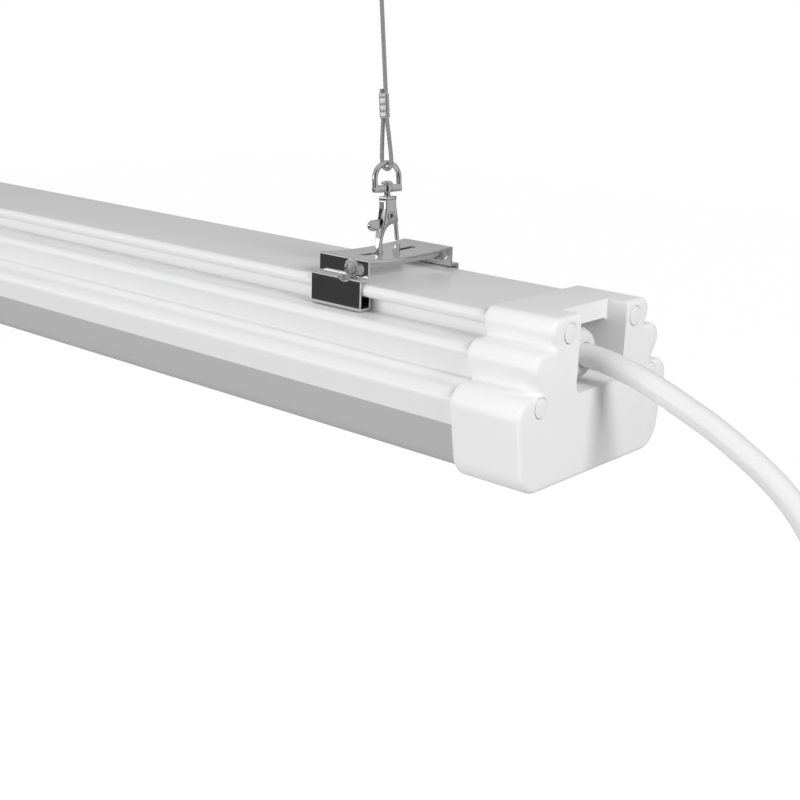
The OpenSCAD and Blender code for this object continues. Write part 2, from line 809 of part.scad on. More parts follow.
// Free cord from inside the gland to the coil
cord_path = concat([[cord_start, 0, gland_z]], smooth(concat(cord_route, [coil_entry]), 2));
module power_cord() {
    color("gainsboro") placed() tube(cord_path, cord_r, cord_sides, [0, 1, 0]);
}

// Least gap between one turn and the turns after it
coil_gap = min([for (i = [0:coil_last_ring], j = [i + coil_rings / 2:coil_last_ring])
    norm(coil_loops[i] - coil_loops[j])]) - cord_d;
echo(coil_gap = coil_gap, cord_length = run_length(cord_path) + run_length(coil_path));
echo(origin = origin, eye = [eye_x, eye_z], hang = [hang_x, hang_z], gland_face = gland_face);
echo(coil_entry = coil_entry, coil_first = coil_first, plug_top = plug_top);

// Strap round the turns at the top of the coil
tie_at = (450 - coil_from) / 360;
tie_radii = [for (t = [tie_at:coil_turns]) coil_radius(t)];
tie_low = min(tie_radii) - cord_r - tie_t / 2;
tie_high = max(tie_radii) + cord_r + play;
tie_half = coil_step / 2 + cord_r + play;
module cord_tie() {
    color("dimgrey") placed()
    translate(coil_centre)
    difference() {
        translate([-tie_w / 2, -tie_half - tie_t, tie_low - tie_t])
        cube([tie_w, 2 * (tie_half + tie_t), tie_high - tie_low + 2 * tie_t]);
        translate([-tie_w, -tie_half, tie_low]) cube([2 * tie_w, 2 * tie_half, tie_high - tie_low]);
    }
}

module plug_body() {
    color("gainsboro") placed()
    translate(plug_top - [0, 0, plug_neck_l + plug_l]) {
        intersection() {
            translate([-plug_w / 2, -plug_d / 2, 0]) cube([plug_w, plug_d, plug_l]);
            cylinder(r = plug_face_r, h = plug_l);
        }
        translate([0, 0, plug_l]) cylinder(r1 = plug_neck_r * 1.3, r2 = cord_r + 1, h = plug_neck_l);
    }
}

module plug_pins() {
    color("gold") placed()
    translate(plug_top - [0, 0, plug_neck_l + plug_l]) {
        for (m = [-1, 1])
            translate([m * blade_apart / 2 - blade_t / 2, -blade_w / 2 - earth_back / 4, -blade_l])
            cube([blade_t, blade_w, blade_l]);
        translate([0, earth_back * 3 / 4 - blade_w / 2, -earth_l]) cylinder(r = earth_r, h = earth_l);
    }
}

// Half of the bracket's profile, from the middle of the plate to the lip, along its outer face
bracket_line = [
    [0, plate_z], [bracket_w / 2, plate_z], [bracket_w / 2, shelf_z], [jaw_half, shelf_z],
    [jaw_half, jaw_low], [lip_half, jaw_low], [lip_half, lip_top]
];
inner_line = [
    [0, plate_z - sheet_t], [bracket_w / 2 - sheet_t, plate_z - sheet_t],
    [bracket_w / 2 - sheet_t, shelf_z - sheet_t], [jaw_half - sheet_t, shelf_z - sheet_t],
    [jaw_half - sheet_t, jaw_low + sheet_t], [lip_half + sheet_t, jaw_low + sheet_t],
    [lip_half + sheet_t, lip_top]
];
bend_in = bend_r - sheet_t;
outer_radii = [0, bend_r, bend_in, bend_r, bend_r, bend_r, 0];
inner_radii = [0, bend_in, bend_r, bend_in, bend_in, bend_in, 0];
function reversed(p) = [for (i = [len(p) - 1:-1:0]) p[i]];
function both_ways(p) = concat([for (i = [len(p) - 1:-1:1]) [-p[i][0], p[i][1]]], p);
module bracket() {
    difference() {
        along_x(bracket_x - bracket_l / 2, bracket_x + bracket_l / 2)
        polygon(concat(both_ways(bent(bracket_line, outer_radii, bend_steps)),
            reversed(both_ways(bent(inner_line, inner_radii, bend_steps)))));
        for (m = [-1, 1])
            translate([bracket_x - slot_half, m * (slot_from + slot_to) / 2 - (slot_to - slot_from) / 2,
                       plate_z - 2 * sheet_t])
            cube([2 * slot_half, slot_to - slot_from, 4 * sheet_t]);
        for (x = [0, bolt_slot])
            translate([bracket_x + bolt_off + x, -bracket_w, bolt_z]) rotate([-90, 0, 0])
            cylinder(r = bolt_r + play, h = 2 * bracket_w);
        translate([bracket_x + bolt_off, -bracket_w, bolt_z - bolt_r - play])
        cube([bolt_slot, 2 * bracket_w, 2 * (bolt_r + play)]);
        for (m = [-1, 1])
            translate([bracket_x + bolt_off, m * (bracket_w / 2 + jaw_half), bolt_z]) rotate([90, 0, 0])
            cylinder(r = notch_r, h = 2 * jaw_half, center = true);
    }
}
module bracket_1() { color("dimgrey") side(1) bracket(); }
module bracket_2() { color("dimgrey") side(2) bracket(); }

// Clamp bolt across the bracket, its head in front and its nut behind
module on_bolt() {
    translate([bracket_x + bolt_off, 0, bolt_z]) rotate([-90, 0, 0]) children();
}
bolt_seat = bracket_w / 2 + washer_t;
module clamp_bolt() {
    on_bolt() {
        translate([0, 0, -bolt_seat - cut / 2]) cylinder(r = bolt_r, h = 2 * bolt_seat + bolt_over);
        difference() {
            translate([0, 0, -bolt_seat - head_t]) cylinder(r1 = head_r * 0.75, r2 = head_r, h = head_t);
            for (a = [0, 90])
                rotate([0, 0, a]) translate([0, 0, -bolt_seat - head_t])
                cube([head_r, head_r / 4, head_t], center = true);
        }
    }
}
module clamp_nut() {
    on_bolt() translate([0, 0, bolt_seat])
    difference() {
        cylinder(r = nut_r, h = nut_t, $fn = 6);
        translate([0, 0, -cut]) cylinder(r = bolt_r + run_play, h = nut_t + 2 * cut);
    }
}
module clamp_washers() {
    on_bolt() for (z = [-bolt_seat, bolt_seat - washer_t])
        translate([0, 0, z]) difference() {
            cylinder(r = washer_r, h = washer_t);
            translate([0, 0, -cut]) cylinder(r = bolt_r + run_play, h = washer_t + 2 * cut);
        }
}
module clamp_bolt_1() { color("silver") side(1) clamp_bolt(); }
module clamp_bolt_2() { color("silver") side(2) clamp_bolt(); }
module clamp_nut_1() { color("silver") side(1) clamp_nut(); }
module clamp_nut_2() { color("silver") side(2) clamp_nut(); }
module clamp_washers_1() { color("silver") side(1) clamp_washers(); }
module clamp_washers_2() { color("silver") side(2) clamp_washers(); }

// Snap hook body: round hook and a slotted upper part, thinner towards the round
module hook_body() {
    in_hook()
    difference() {
        intersection() {
            along_x(-body_t / 2, body_t / 2) {
                difference() {
                    circle(hook_out_r);
                    circle(hook_in_r);
                    bar(hook_out_r + cut, 0, hook_out_r + cut);
                }
                polygon(body_outline);
                polygon(tip_outline);
            }
            rotate([90, 0, 0]) linear_extrude(4 * hook_out_r, center = true)
            polygon([
                [-leg_t / 2, -hook_out_r - cut], [leg_t / 2, -hook_out_r - cut], [leg_t / 2, 0],
                [body_t / 2, thick_at], [body_t / 2, body_top], [-body_t / 2, body_top],
                [-body_t / 2, thick_at], [-leg_t / 2, 0]
            ]);
        }
        along_x(slot_off - gate_slot / 2, slot_off + gate_slot / 2) polygon(slot_outline);
        translate([-body_t, rivet_at[0], rivet_at[1]]) rotate([0, 90, 0])
        cylinder(r = rivet_r + run_play, h = 2 * body_t);
        translate([0, 0, post_low]) cylinder(r = post_r + run_play, h = body_top);
    }
}
module hook_body_1() { color("silver") side(1) hook_body(); }
module hook_body_2() { color("silver") side(2) hook_body(); }

// Gate with its thumb tab, turning on the rivet
module hook_gate() {
    in_hook()
    difference() {
        union() {
            along_x(gate_off - gate_t / 2, gate_off + gate_t / 2) polygon(gate_outline);
            along_x(-arm_t / 2, arm_t / 2)
            intersection() {
                polygon(gate_outline);
                union() {
                    translate([0, -cut]) square([hook_out_r, hook_out_r * arm_top_share + cut]);
                    translate([-2 * hook_out_r, 0])
                    square([hook_out_r * (2 - tab_from_share), hook_out_r * 2]);
                }
            }
        }
        translate([-body_t, rivet_at[0], rivet_at[1]]) rotate([0, 90, 0])
        cylinder(r = rivet_r + run_play, h = 2 * body_t);
    }
}
module hook_gate_1() { color("grey") side(1) hook_gate(); }
module hook_gate_2() { color("grey") side(2) hook_gate(); }

module gate_rivet() {
    rivet_end = body_t / 2 + rivet_head_t;
    in_hook() translate([0, rivet_at[0], rivet_at[1]]) rotate([0, 90, 0])
    difference() {
        union() {
            cylinder(r = rivet_r, h = body_t + rivet_head_t, center = true);
            for (z = [-rivet_end, body_t / 2])
                translate([0, 0, z]) cylinder(r = rivet_head_r, h = rivet_head_t);
        }
        cylinder(r = rivet_bore_r, h = 2 * rivet_end + cut, center = true);
    }
}
module gate_rivet_1() { color("dimgrey") side(1) gate_rivet(); }
module gate_rivet_2() { color("dimgrey") side(2) gate_rivet(); }

// Torsion spring: a turn round the rivet, one leg up the body and one on the gate's arm
spring_path = concat([[-spring_pitch / 2, -spring_ring_r, spring_leg]],
    [for (a = [180:24:540])
        [spring_pitch * ((a - 180) / 360 - 0.5), spring_ring_r * cos(a), spring_ring_r * sin(a)]],
    [[spring_pitch / 2, -spring_ring_r, -spring_leg]]);
module gate_spring() {
    in_hook() translate([spring_off, rivet_at[0], rivet_at[1]])
    tube(spring_path, spring_wire_r, rope_sides, [1, 0, 0]);
}
module gate_spring_1() { color("black") side(1) gate_spring(); }
module gate_spring_2() { color("black") side(2) gate_spring(); }

module swivel_post() {
    in_hook() {
        translate([0, 0, post_low]) cylinder(r = post_r, h = eye_low + eye_bar_h + neck_gap - post_low + cut / 2);
        translate([0, 0, eye_low + eye_bar_h + neck_gap])
        cylinder(r1 = post_head_r, r2 = post_head_r * 0.6, h = post_head_t);
    }
}
module swivel_post_1() { color("silver") side(1) swivel_post(); }
module swivel_post_2() { color("silver") side(2) swivel_post(); }

// D-shaped eye that turns on the post
module swivel_eye() {
    in_hook() rotate([0, 0, -eye_turn])
    difference() {
        union() {
            translate([0, 0, eye_top - eye_half]) rotate([0, 0, 90]) rotate([90, 0, 0])
            rotate_extrude(angle = 180) translate([eye_half, 0]) circle(eye_bar_r, $fn = 24);
            for (m = [-1, 1]) translate([0, m * eye_half, eye_low + eye_bar_h / 2])
                cylinder(r = eye_bar_r, h = eye_top - eye_half - eye_low - eye_bar_h / 2, $fn = 24);
            translate([-eye_bar_t / 2, -eye_bar_half, eye_low]) cube([eye_bar_t, 2 * eye_bar_half, eye_bar_h]);
        }
        translate([0, 0, eye_low - cut]) cylinder(r = post_r + run_play, h = eye_bar_h + 2 * cut);
    }
}
module swivel_eye_1() { color("lightgrey") side(1) swivel_eye(); }
module swivel_eye_2() { color("lightgrey") side(2) swivel_eye(); }

// Rope: stub, lower loop round the eye's bar, long run, upper loop over the ceiling hook, stub
ferrule_top = ferrule_up + ferrule_l;
high_low = rope_l - ferrule_top;
high_top = rope_l - ferrule_up;
rope_path = concat(
    [[-ferrule_bore_at, 0, ferrule_top + stub], [-ferrule_bore_at, 0, ferrule_up],
     [-(ferrule_bore_at + low_loop_r) / 2, 0, ferrule_up * 0.6], [-low_loop_r, 0, low_loop_r]],
    [for (a = [180:22.5:360]) low_loop_r * [cos(a), 0, sin(a)]],
    [[low_loop_r, 0, low_loop_r], [(ferrule_bore_at + low_loop_r) / 2, 0, ferrule_up * 0.6],
     [ferrule_bore_at, 0, ferrule_up], [ferrule_bore_at, 0, ferrule_top + stub],
     [0, ferrule_bore_at, high_low - stub], [0, ferrule_bore_at, high_top],
     [0, (ferrule_bore_at + high_loop_r) / 2, rope_l - ferrule_up * 0.6],
     [0, high_loop_r, rope_l - high_loop_r]],
    [for (a = [0:22.5:180]) [0, 0, rope_l] + high_loop_r * [0, cos(a), sin(a)]],
    [[0, -high_loop_r, rope_l - high_loop_r],
     [0, -(ferrule_bore_at + high_loop_r) / 2, rope_l - ferrule_up * 0.6],
     [0, -ferrule_bore_at, high_top], [0, -ferrule_bore_at, high_low - stub]]);
module wire_rope() {
    in_rope() tube(rope_path, rope_r, rope_sides, [0, 1, 0]);
}
module wire_rope_1() { color("silver") side(1) wire_rope(); }
module wire_rope_2() { color("silver") side(2) wire_rope(); }

// Crimped double sleeve over two runs of rope
module ferrule() {
    linear_extrude(ferrule_l) difference() {
        union() {
            for (m = [-1, 1]) translate([m * ferrule_bore_at, 0]) circle(ferrule_r);
            square([2 * ferrule_bore_at, 1.7 * ferrule_r], center = true);
        }
        for (m = [-1, 1]) translate([m * ferrule_bore_at, 0]) circle(rope_r + play / 2);
    }
}
module ferrules() {
    in_rope() {
        translate([0, 0, ferrule_up]) ferrule();
        translate([0, 0, high_low]) rotate([0, 0, 90]) ferrule();
    }
}
module ferrules_1() { color("silver") side(1) ferrules(); }
module ferrules_2() { color("silver") side(2) ferrules(); }

// Open screw hook in the ceiling
module ceiling_hook() {
    translate([hang_x, 0, ceiling_z]) {
        cylinder(r = shank_r, h = shank_l - shank_tip);
        translate([0, 0, shank_l - shank_tip]) cylinder(r1 = shank_r, r2 = shank_r / 5, h = shank_tip);
        translate([0, 0, -collar_t]) cylinder(r = collar_r, h = collar_t);
        translate([0, 0, -collar_t - neck_l - shank_r / 2]) cylinder(r = shank_r, h = neck_l + shank_r);
        translate([0, 0, -collar_t - neck_l - ring_r]) rotate([90, 0, 0]) rotate([0, 0, 90])
        rotate_extrude(angle = ring_turn) translate([ring_r, 0]) circle(shank_r, $fn = 32);
    }
}
module ceiling_hook_1() { color("lightgrey") side(1) ceiling_hook(); }
module ceiling_hook_2() { color("lightgrey") side(2) ceiling_hook(); }

housing();
diffuser();
led_tray();
led_board_front();
led_board_back();
leds();
driver_case();
driver_cover();
driver_board();
driver_parts();
driver_screws();
terminal_block();
mains_wires();
driver_wires();
led_wires();
cap_cable_end();
cap_far_end();
gasket_cable_end();
gasket_far_end();
cap_screws_cable_end();
cap_screws_far_end();
screw_covers_cable_end();
screw_covers_far_end();
gland_body();
gland_locknut();
gland_nut();
gland_seal();
power_cord();
cord_coil();
cord_tie();
plug_body();
plug_pins();
bracket_1();
bracket_2();
clamp_bolt_1();
clamp_bolt_2();
clamp_nut_1();
clamp_nut_2();
clamp_washers_1();
clamp_washers_2();
hook_body_1();
hook_body_2();
hook_gate_1();
hook_gate_2();
gate_rivet_1();
gate_rivet_2();
gate_spring_1();
gate_spring_2();
swivel_post_1();
swivel_post_2();
swivel_eye_1();
swivel_eye_2();
wire_rope_1();
wire_rope_2();
ferrules_1();
ferrules_2();
ceiling_hook_1();
ceiling_hook_2();
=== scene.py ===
"""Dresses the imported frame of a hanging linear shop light.

Sizes are the light's own, in millimetres. X runs along the light and is 0 at the cable end's
face, Y runs across it, and Z is measured from the lowest face of the end caps. Only the cord's
route is in metres. Every surface is worked out on a grid of two parameters, then moved into
the row frame.
"""

import logging
from dataclasses import dataclass, field
from enum import Enum
from typing import Optional, Sequence

import bmesh
import bpy
import numpy as np
from mathutils import Matrix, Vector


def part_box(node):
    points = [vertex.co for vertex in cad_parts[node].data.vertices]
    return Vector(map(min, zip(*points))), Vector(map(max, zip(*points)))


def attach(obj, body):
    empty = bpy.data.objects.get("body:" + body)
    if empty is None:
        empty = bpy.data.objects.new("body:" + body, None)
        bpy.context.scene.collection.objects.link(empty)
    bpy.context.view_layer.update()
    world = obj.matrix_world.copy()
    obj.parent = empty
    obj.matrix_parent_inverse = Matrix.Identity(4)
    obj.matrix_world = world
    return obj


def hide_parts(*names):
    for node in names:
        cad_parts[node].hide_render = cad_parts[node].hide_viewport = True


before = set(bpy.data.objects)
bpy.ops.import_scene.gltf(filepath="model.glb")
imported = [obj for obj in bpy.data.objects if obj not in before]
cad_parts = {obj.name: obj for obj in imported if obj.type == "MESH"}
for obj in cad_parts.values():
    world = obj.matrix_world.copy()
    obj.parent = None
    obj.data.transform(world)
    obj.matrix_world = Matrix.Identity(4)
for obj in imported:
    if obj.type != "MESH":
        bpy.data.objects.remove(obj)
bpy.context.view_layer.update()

MM = 0.001
TAU = 2 * np.pi
CURVE_STEPS = 8
log = logging.getLogger("shop_light")

Pair = tuple[float, float]
Point = tuple[float, float, float]
Corner = tuple[float, float, float]
Rgb = tuple[float, float, float]


class Side(Enum):
    """End of the light that a piece belongs to; the far end mirrors the cable end."""

    CABLE_END = 1
    FAR_END = 2


class Axis(Enum):
    """Direction in which an outline is drawn out. The value orders (u, v, w) as x, y, z."""

    X = (2, 0, 1)
    Y = (0, 2, 1)
    Z = (0, 1, 2)


class Body(Enum):
    """Moving bodies of the frame; those that occur twice take the side's number."""

    CEILING = "ceiling"
    SUSPENSION = "suspension"
    LIGHT = "light"
    GATE = "gate_"
    EYE = "eye_"

    def on(self, side: Side) -> str:
        """Name of the body at one end of the light."""
        return f"{self.value}{side.value}" if self.value.endswith("_") else self.value


# Row place of the light's own zero point, and the light's length, read from the frame
FACE_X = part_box("cap_cable_end")[1][0]
BASE_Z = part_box("cap_cable_end")[0][2]
LIGHT_L = (FACE_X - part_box("cap_far_end")[0][0]) / MM


def row_matrix(side: Side) -> Matrix:
    """Matrix from the light's millimetres to the row frame's metres.

    Args:
        side: the end of the light; the far end is the mirror image about its middle.

    Returns:
        The 4x4 matrix.
    """
    flip = -1 if side is Side.FAR_END else 1
    shift = FACE_X - (LIGHT_L * MM if side is Side.FAR_END else 0)
    return Matrix(((flip * MM, 0, 0, shift), (0, MM, 0, 0), (0, 0, MM, BASE_Z), (0, 0, 0, 1)))


def unit(v: np.ndarray) -> np.ndarray:
    """Vectors of length one."""
    return v / np.linalg.norm(v, axis=-1, keepdims=True)


def ease(t: np.ndarray) -> np.ndarray:
    """Smooth step from 0 to 1: three t squared less two t cubed."""
    t = np.clip(t, 0, 1)
    return t * t * (3 - 2 * t)


def angles(count: int) -> np.ndarray:
    """Even angles round a full turn."""
    return np.arange(count) * TAU / count


def run_along(path: np.ndarray) -> np.ndarray:
    """Distance along a line through points, at each of them."""
    return np.concatenate([[0], np.cumsum(np.linalg.norm(np.diff(path, axis=0), axis=1))])


def resampled(path: np.ndarray, at: np.ndarray) -> np.ndarray:
    """Points of a line at distances along it."""
    run = run_along(path)
    return np.stack([np.interp(at, run, column) for column in path.T], -1)


def stacked(rings: np.ndarray, along: np.ndarray) -> np.ndarray:
    """Rings of two coordinates, with each ring's place along the third put last."""
    return np.concatenate([rings, np.broadcast_to(along[:, None, None], rings.shape[:2] + (1,))], -1)


# Outlines


def fillets(corners: np.ndarray, closed: bool, steps: int) -> tuple[np.ndarray, ...]:
    """Arcs that round the corners of a line.

    Each corner has x, y and a radius. The arc's centre lies on the bisector, at radius over
    the sine of half the corner's angle.

    Args:
        corners: one row of x, y, radius for each corner.
        closed: whether the last corner joins the first; otherwise both ends are left out.
        steps: pieces of each arc.

    Returns:
        Centres, radii, turns (+1 left, -1 right) and angles, one row for each arc.
    """
    p, r = corners[:, :2], corners[:, 2]
    back, ahead = np.roll(p, 1, 0), np.roll(p, -1, 0)
    if not closed:
        p, r, back, ahead = p[1:-1], r[1:-1], back[1:-1], ahead[1:-1]
    u, v = unit(back - p), unit(ahead - p)
    half = np.arccos(np.clip((u * v).sum(1), -1, 1)) / 2
    centre = p + unit(u + v) * (r / np.sin(half))[:, None]
    start = p + u * (r / np.tan(half))[:, None] - centre
    turn = np.sign(-u[:, 0] * v[:, 1] + u[:, 1] * v[:, 0])
    sweep = turn * (np.pi - 2 * half)
    angle = np.arctan2(start[:, 1], start[:, 0])[:, None] + sweep[:, None] * np.linspace(0, 1, steps + 1)
    return centre, r, turn, angle


@dataclass(frozen=True)
class Outline:
    """Closed line of straight sides and round corners, given anticlockwise."""

    corners: tuple[Corner, ...]
    steps: int = CURVE_STEPS

    def rings(self, insets: np.ndarray) -> np.ndarray:
        """The outline set in by each distance: round corners keep their centres.

        Args:
            insets: distances inwards, at most the smallest outer radius.

        Returns:
            Array of inset, point, and the two coordinates.
        """
        centre, r, turn, angle = fillets(np.array(self.corners, float), True, self.steps)
        radius = r[None, :, None] - turn[None, :, None] * np.atleast_1d(insets)[:, None, None]
        way = np.stack([np.cos(angle), np.sin(angle)], -1)
        points = centre[None, :, None, :] + radius[..., None] * way[None]
        return points.reshape(len(radius), -1, 2)

    def parted(self, spacing: float) -> np.ndarray:
        """The outline with further points at a spacing along its straight sides."""
        ring = self.rings(np.zeros(1))[0]
        loop = np.vstack([ring, ring[:1]])
        run = run_along(loop)
        extra = np.arange(spacing, run[-1], spacing)
        near = np.abs(extra[:, None] - run[None]).min(1) > spacing / 4
        return resampled(loop, np.sort(np.concatenate([run[:-1], extra[near]])))


def both_sides(half: Sequence[Corner]) -> tuple[Corner, ...]:
    """Full outline from the corners of its right half, listed from the top down."""
    return tuple(reversed(half)) + tuple((-y, z, r) for y, z, r in half)


def box_outline(u: float, v: float, radius: float, at: Pair = (0, 0), steps: int = 4) -> Outline:
    """Rectangle of half sizes u and v with round corners."""
    x, y = at
    return Outline(((x + u, y - v, radius), (x + u, y + v, radius), (x - u, y + v, radius),
                    (x - u, y - v, radius)), steps)


def hexagon(radius: float, at: Pair, corner: float) -> Outline:
    """Regular six-sided outline with round corners."""
    return Outline(tuple((at[0] + radius * np.cos(k), at[1] + radius * np.sin(k), corner)
                         for k in angles(6)), 3)


def round_line(corners: Sequence[Corner], steps: int = 4) -> np.ndarray:
    """Open line through corners, each but the two ends rounded by its radius."""
    c = np.array(corners, float)
    centre, r, _, angle = fillets(c, False, steps)
    arcs = centre[:, None] + r[:, None, None] * np.stack([np.cos(angle), np.sin(angle)], -1)
    return np.vstack([c[:1, :2], arcs.reshape(-1, 2), c[-1:, :2]])


def through(points: np.ndarray, steps: int) -> np.ndarray:
    """Catmull-Rom curve through points: each span is the cubic whose end slopes are half the
    way between the neighbours.

    Args:
        points: the points of the route.
        steps: points of the curve for each span.

    Returns:
        The points of the curve.
    """
    a = np.vstack([points[:1], points, points[-1:]])
    t = (np.arange(steps) / steps)[None, :, None]
    p0, p1, p2, p3 = (a[k:len(a) - 3 + k][:, None] for k in range(4))
    curve = 0.5 * (2 * p1 + (p2 - p0) * t + (2 * p0 - 5 * p1 + 4 * p2 - p3) * t * t
                   + (3 * p1 - 3 * p2 + p3 - p0) * t ** 3)
    return np.vstack([curve.reshape(-1, points.shape[1]), points[-1:]])


# Shapes


@dataclass
class Shape:
    """Closed surface: points, four-sided faces, and faces of any number of sides."""

    points: np.ndarray
    quads: np.ndarray
    gons: list[list[int]] = field(default_factory=list)

    def volume(self) -> float:
        """Signed volume: a third of the sum over triangles of a . (b x c) / 2."""
        tris = [self.quads[:, [0, 1, 2]], self.quads[:, [0, 2, 3]]]
        tris += [np.array([[g[0], b, c] for b, c in zip(g[1:], g[2:])]) for g in self.gons]
        a, b, c = (self.points[np.vstack(tris)[:, k]] for k in range(3))
        return float((a * np.cross(b, c)).sum() / 6)

    def outward(self) -> "Shape":
        """The same shape with its faces turned outwards."""
        if self.volume() >= 0:
            return self
        return Shape(self.points, self.quads[:, ::-1], [g[::-1] for g in self.gons])

    def placed(self, turn: Optional[np.ndarray] = None, offset: Sequence[float] = (0, 0, 0)) -> "Shape":
        """The shape turned by a 3x3 matrix, then moved."""
        turned = self.points if turn is None else self.points @ np.asarray(turn).T
        return Shape(turned + np.array(offset, float), self.quads, self.gons)

    def sliced(self, heights: Sequence[float]) -> "Shape":
        """The shape with its faces cut level at each height, so that they can bend there."""
        grid = bmesh.new()
        grid.from_mesh(to_mesh("sliced", self))
        for z in heights:
            bmesh.ops.bisect_plane(grid, geom=grid.verts[:] + grid.edges[:] + grid.faces[:], dist=1e-5,
                                   plane_co=(0, 0, z), plane_no=(0, 0, 1))
        grid.verts.index_update()
        points = np.array([v.co[:] for v in grid.verts])
        gons = [[v.index for v in f.verts] for f in grid.faces]
        grid.free()
        return Shape(points, np.zeros((0, 4), int), gons)

    def thinned(self, heights: np.ndarray, shares: np.ndarray) -> "Shape":
        """The shape with x multiplied by a share that follows the height."""
        points = self.points.copy()
        points[:, 0] *= np.interp(points[:, 2], heights, shares)
        return Shape(points, self.quads, self.gons)


def joined(shapes: Sequence[Shape]) -> Shape:
    """Several separate shapes as one."""
    start = np.cumsum([0] + [len(s.points) for s in shapes])
    return Shape(np.vstack([s.points for s in shapes]),
                 np.vstack([s.quads + k for s, k in zip(shapes, start)]),
                 [[i + int(k) for i in g] for s, k in zip(shapes, start) for g in s.gons])


def loft(rings: np.ndarray, loop: bool = False) -> Shape:
    """Skin over a grid: ring i joins ring i + 1, and each ring is closed in itself.

    Args:
        rings: array of ring, point, and x, y, z.
        loop: whether the last ring joins the first; otherwise both ends are closed flat.

    Returns:
        The shape, facing outwards.
    """
    n, k = rings.shape[:2]
    i, j = np.meshgrid(np.arange(n if loop else n - 1), np.arange(k), indexing="ij")
    i2, j2 = (i + 1) % n, (j + 1) % k
    quads = np.stack([i * k + j, i * k + j2, i2 * k + j2, i2 * k + j], -1).reshape(-1, 4)
    ends = [] if loop else [list(range(k))[::-1], list(range((n - 1) * k, n * k))]
    return Shape(rings.reshape(-1, 3), quads, ends).outward()


def slab(outline: Outline, low: float, high: float, round_low: float = 0, round_high: float = 0,
         axis: Axis = Axis.X, inset: float = 0, steps: int = 4) -> Shape:
    """Outline drawn out along an axis, with quarter-round edges.

    At angle t from 0 to a right angle the edge is set in by r (1 - sin t) and lies r (1 - cos t)
    from the end face.

    Args:
        outline: the outline in the two other directions.
        low: where the slab starts along the axis.
        high: where it ends.
        round_low: radius of the edge at the start.
        round_high: radius of the edge at the end.
        axis: direction in which it is drawn out.
        inset: distance by which the whole outline is set in.
        steps: pieces of each round edge.

    Returns:
        The shape.
    """
    t = np.linspace(0, np.pi / 2, steps + 1)
    parts = [(np.array([low]), np.zeros(1)), (np.array([high]), np.zeros(1))]
    if round_low:
        parts[0] = (low + round_low * (1 - np.cos(t)), round_low * (1 - np.sin(t)))
    if round_high:
        parts[1] = (high - round_high * (1 - np.cos(t[::-1])), round_high * (1 - np.sin(t[::-1])))
    along = np.concatenate([p[0] for p in parts])
    rings = outline.rings(inset + np.concatenate([p[1] for p in parts]))
    return loft(stacked(rings, along)[..., list(axis.value)])


def lathe(profile: np.ndarray, sides: int = 40, axis: Axis = Axis.X, at: Sequence[float] = (0, 0, 0),
          closed: bool = False, ripple: Optional[np.ndarray] = None) -> Shape:
    """Profile of (place along the axis, radius) turned about the axis.

    Args:
        profile: points of place and radius.
        sides: points round the axis.
        axis: the axis.
        at: a point of the axis.
        closed: whether the profile is a closed loop, as for a ring.
        ripple: array of profile point and side, by which each radius is multiplied.

    Returns:
        The shape.
    """
    a = angles(sides)
    r = profile[:, 1:] * (np.ones((1, sides)) if ripple is None else ripple)
    along = np.broadcast_to(profile[:, :1], r.shape)
    grid = np.stack([r * np.cos(a), r * np.sin(a), along], -1)[..., list(axis.value)]
    return loft(grid + np.array(at, float), loop=closed)


def rod(low: float, high: float, radius: float, axis: Axis = Axis.X, at: Sequence[float] = (0, 0, 0),
        edge: float = 0, sides: int = 32) -> Shape:
    """Straight round bar with an optional rounded edge at both ends."""
    if not edge:
        return lathe(np.array([[low, radius], [high, radius]]), sides, axis, at)
    line = round_line(((low, radius - 1.5 * edge, 0), (low, radius, edge), (high, radius, edge),
                       (high, radius - 1.5 * edge, 0)))
    return lathe(line, sides, axis, at)


def tube(path: np.ndarray, radius: np.ndarray, sides: int, aside: np.ndarray, loop: bool = False,
         twist: Optional[np.ndarray] = None) -> Shape:
    """Round section carried along a path.

    The section's first direction is the given one less its part along the path, and the
    second is their cross product. Point k lies at angle 2 pi k / sides plus the twist.

    Args:
        path: points of the centre line.
        radius: one radius, one for each point, or one for each point and side.
        sides: points of each section.
        aside: a direction, or one for each point, that is never along the path.
        loop: whether the path is closed.
        twist: angle of each section.

    Returns:
        The shape.
    """
    if loop:
        way = unit(np.roll(path, -1, 0) - np.roll(path, 1, 0))
    else:
        way = unit(np.gradient(path, axis=0))
    first = np.broadcast_to(aside, path.shape)
    first = unit(first - (first * way).sum(1, keepdims=True) * way)
    second = np.cross(way, first)
    a = angles(sides) + (0 if twist is None else np.asarray(twist)[:, None])
    a = np.broadcast_to(a, (len(path), sides))[..., None]
    r = np.broadcast_to(np.asarray(radius, float).reshape(-1, 1) if np.ndim(radius) < 2 else radius,
                        (len(path), sides))[..., None]
    return loft(path[:, None] + r * (np.cos(a) * first[:, None] + np.sin(a) * second[:, None]), loop)


def round_ends(path: np.ndarray, radius: float, steps: int = 4) -> tuple[np.ndarray, np.ndarray]:
    """Path and radii of a bar whose two ends are half spheres.

    Args:
        path: points of the centre line.
        radius: the bar's radius.
        steps: rings of each end.

    Returns:
        The longer path, and a radius for each of its points.
    """
    t = np.linspace(0.06, 1, steps) * np.pi / 2
    first, last = unit(path[0] - path[1]), unit(path[-1] - path[-2])
    head = path[0] + first * (radius * np.cos(t))[:, None]
    tail = path[-1] + last * (radius * np.cos(t[::-1]))[:, None]
    dome = radius * np.sin(t)
    return (np.vstack([head[:-1], path, tail[1:]]),
            np.concatenate([dome[:-1], np.full(len(path), radius), dome[::-1][1:]]))


def to_mesh(name: str, shape: Shape) -> bpy.types.Mesh:
    """Blender mesh of a shape, in the shape's own units."""
    mesh = bpy.data.meshes.new(name)
    mesh.from_pydata(shape.points.tolist(), [], shape.quads.tolist() + shape.gons)
    mesh.update()
    return mesh


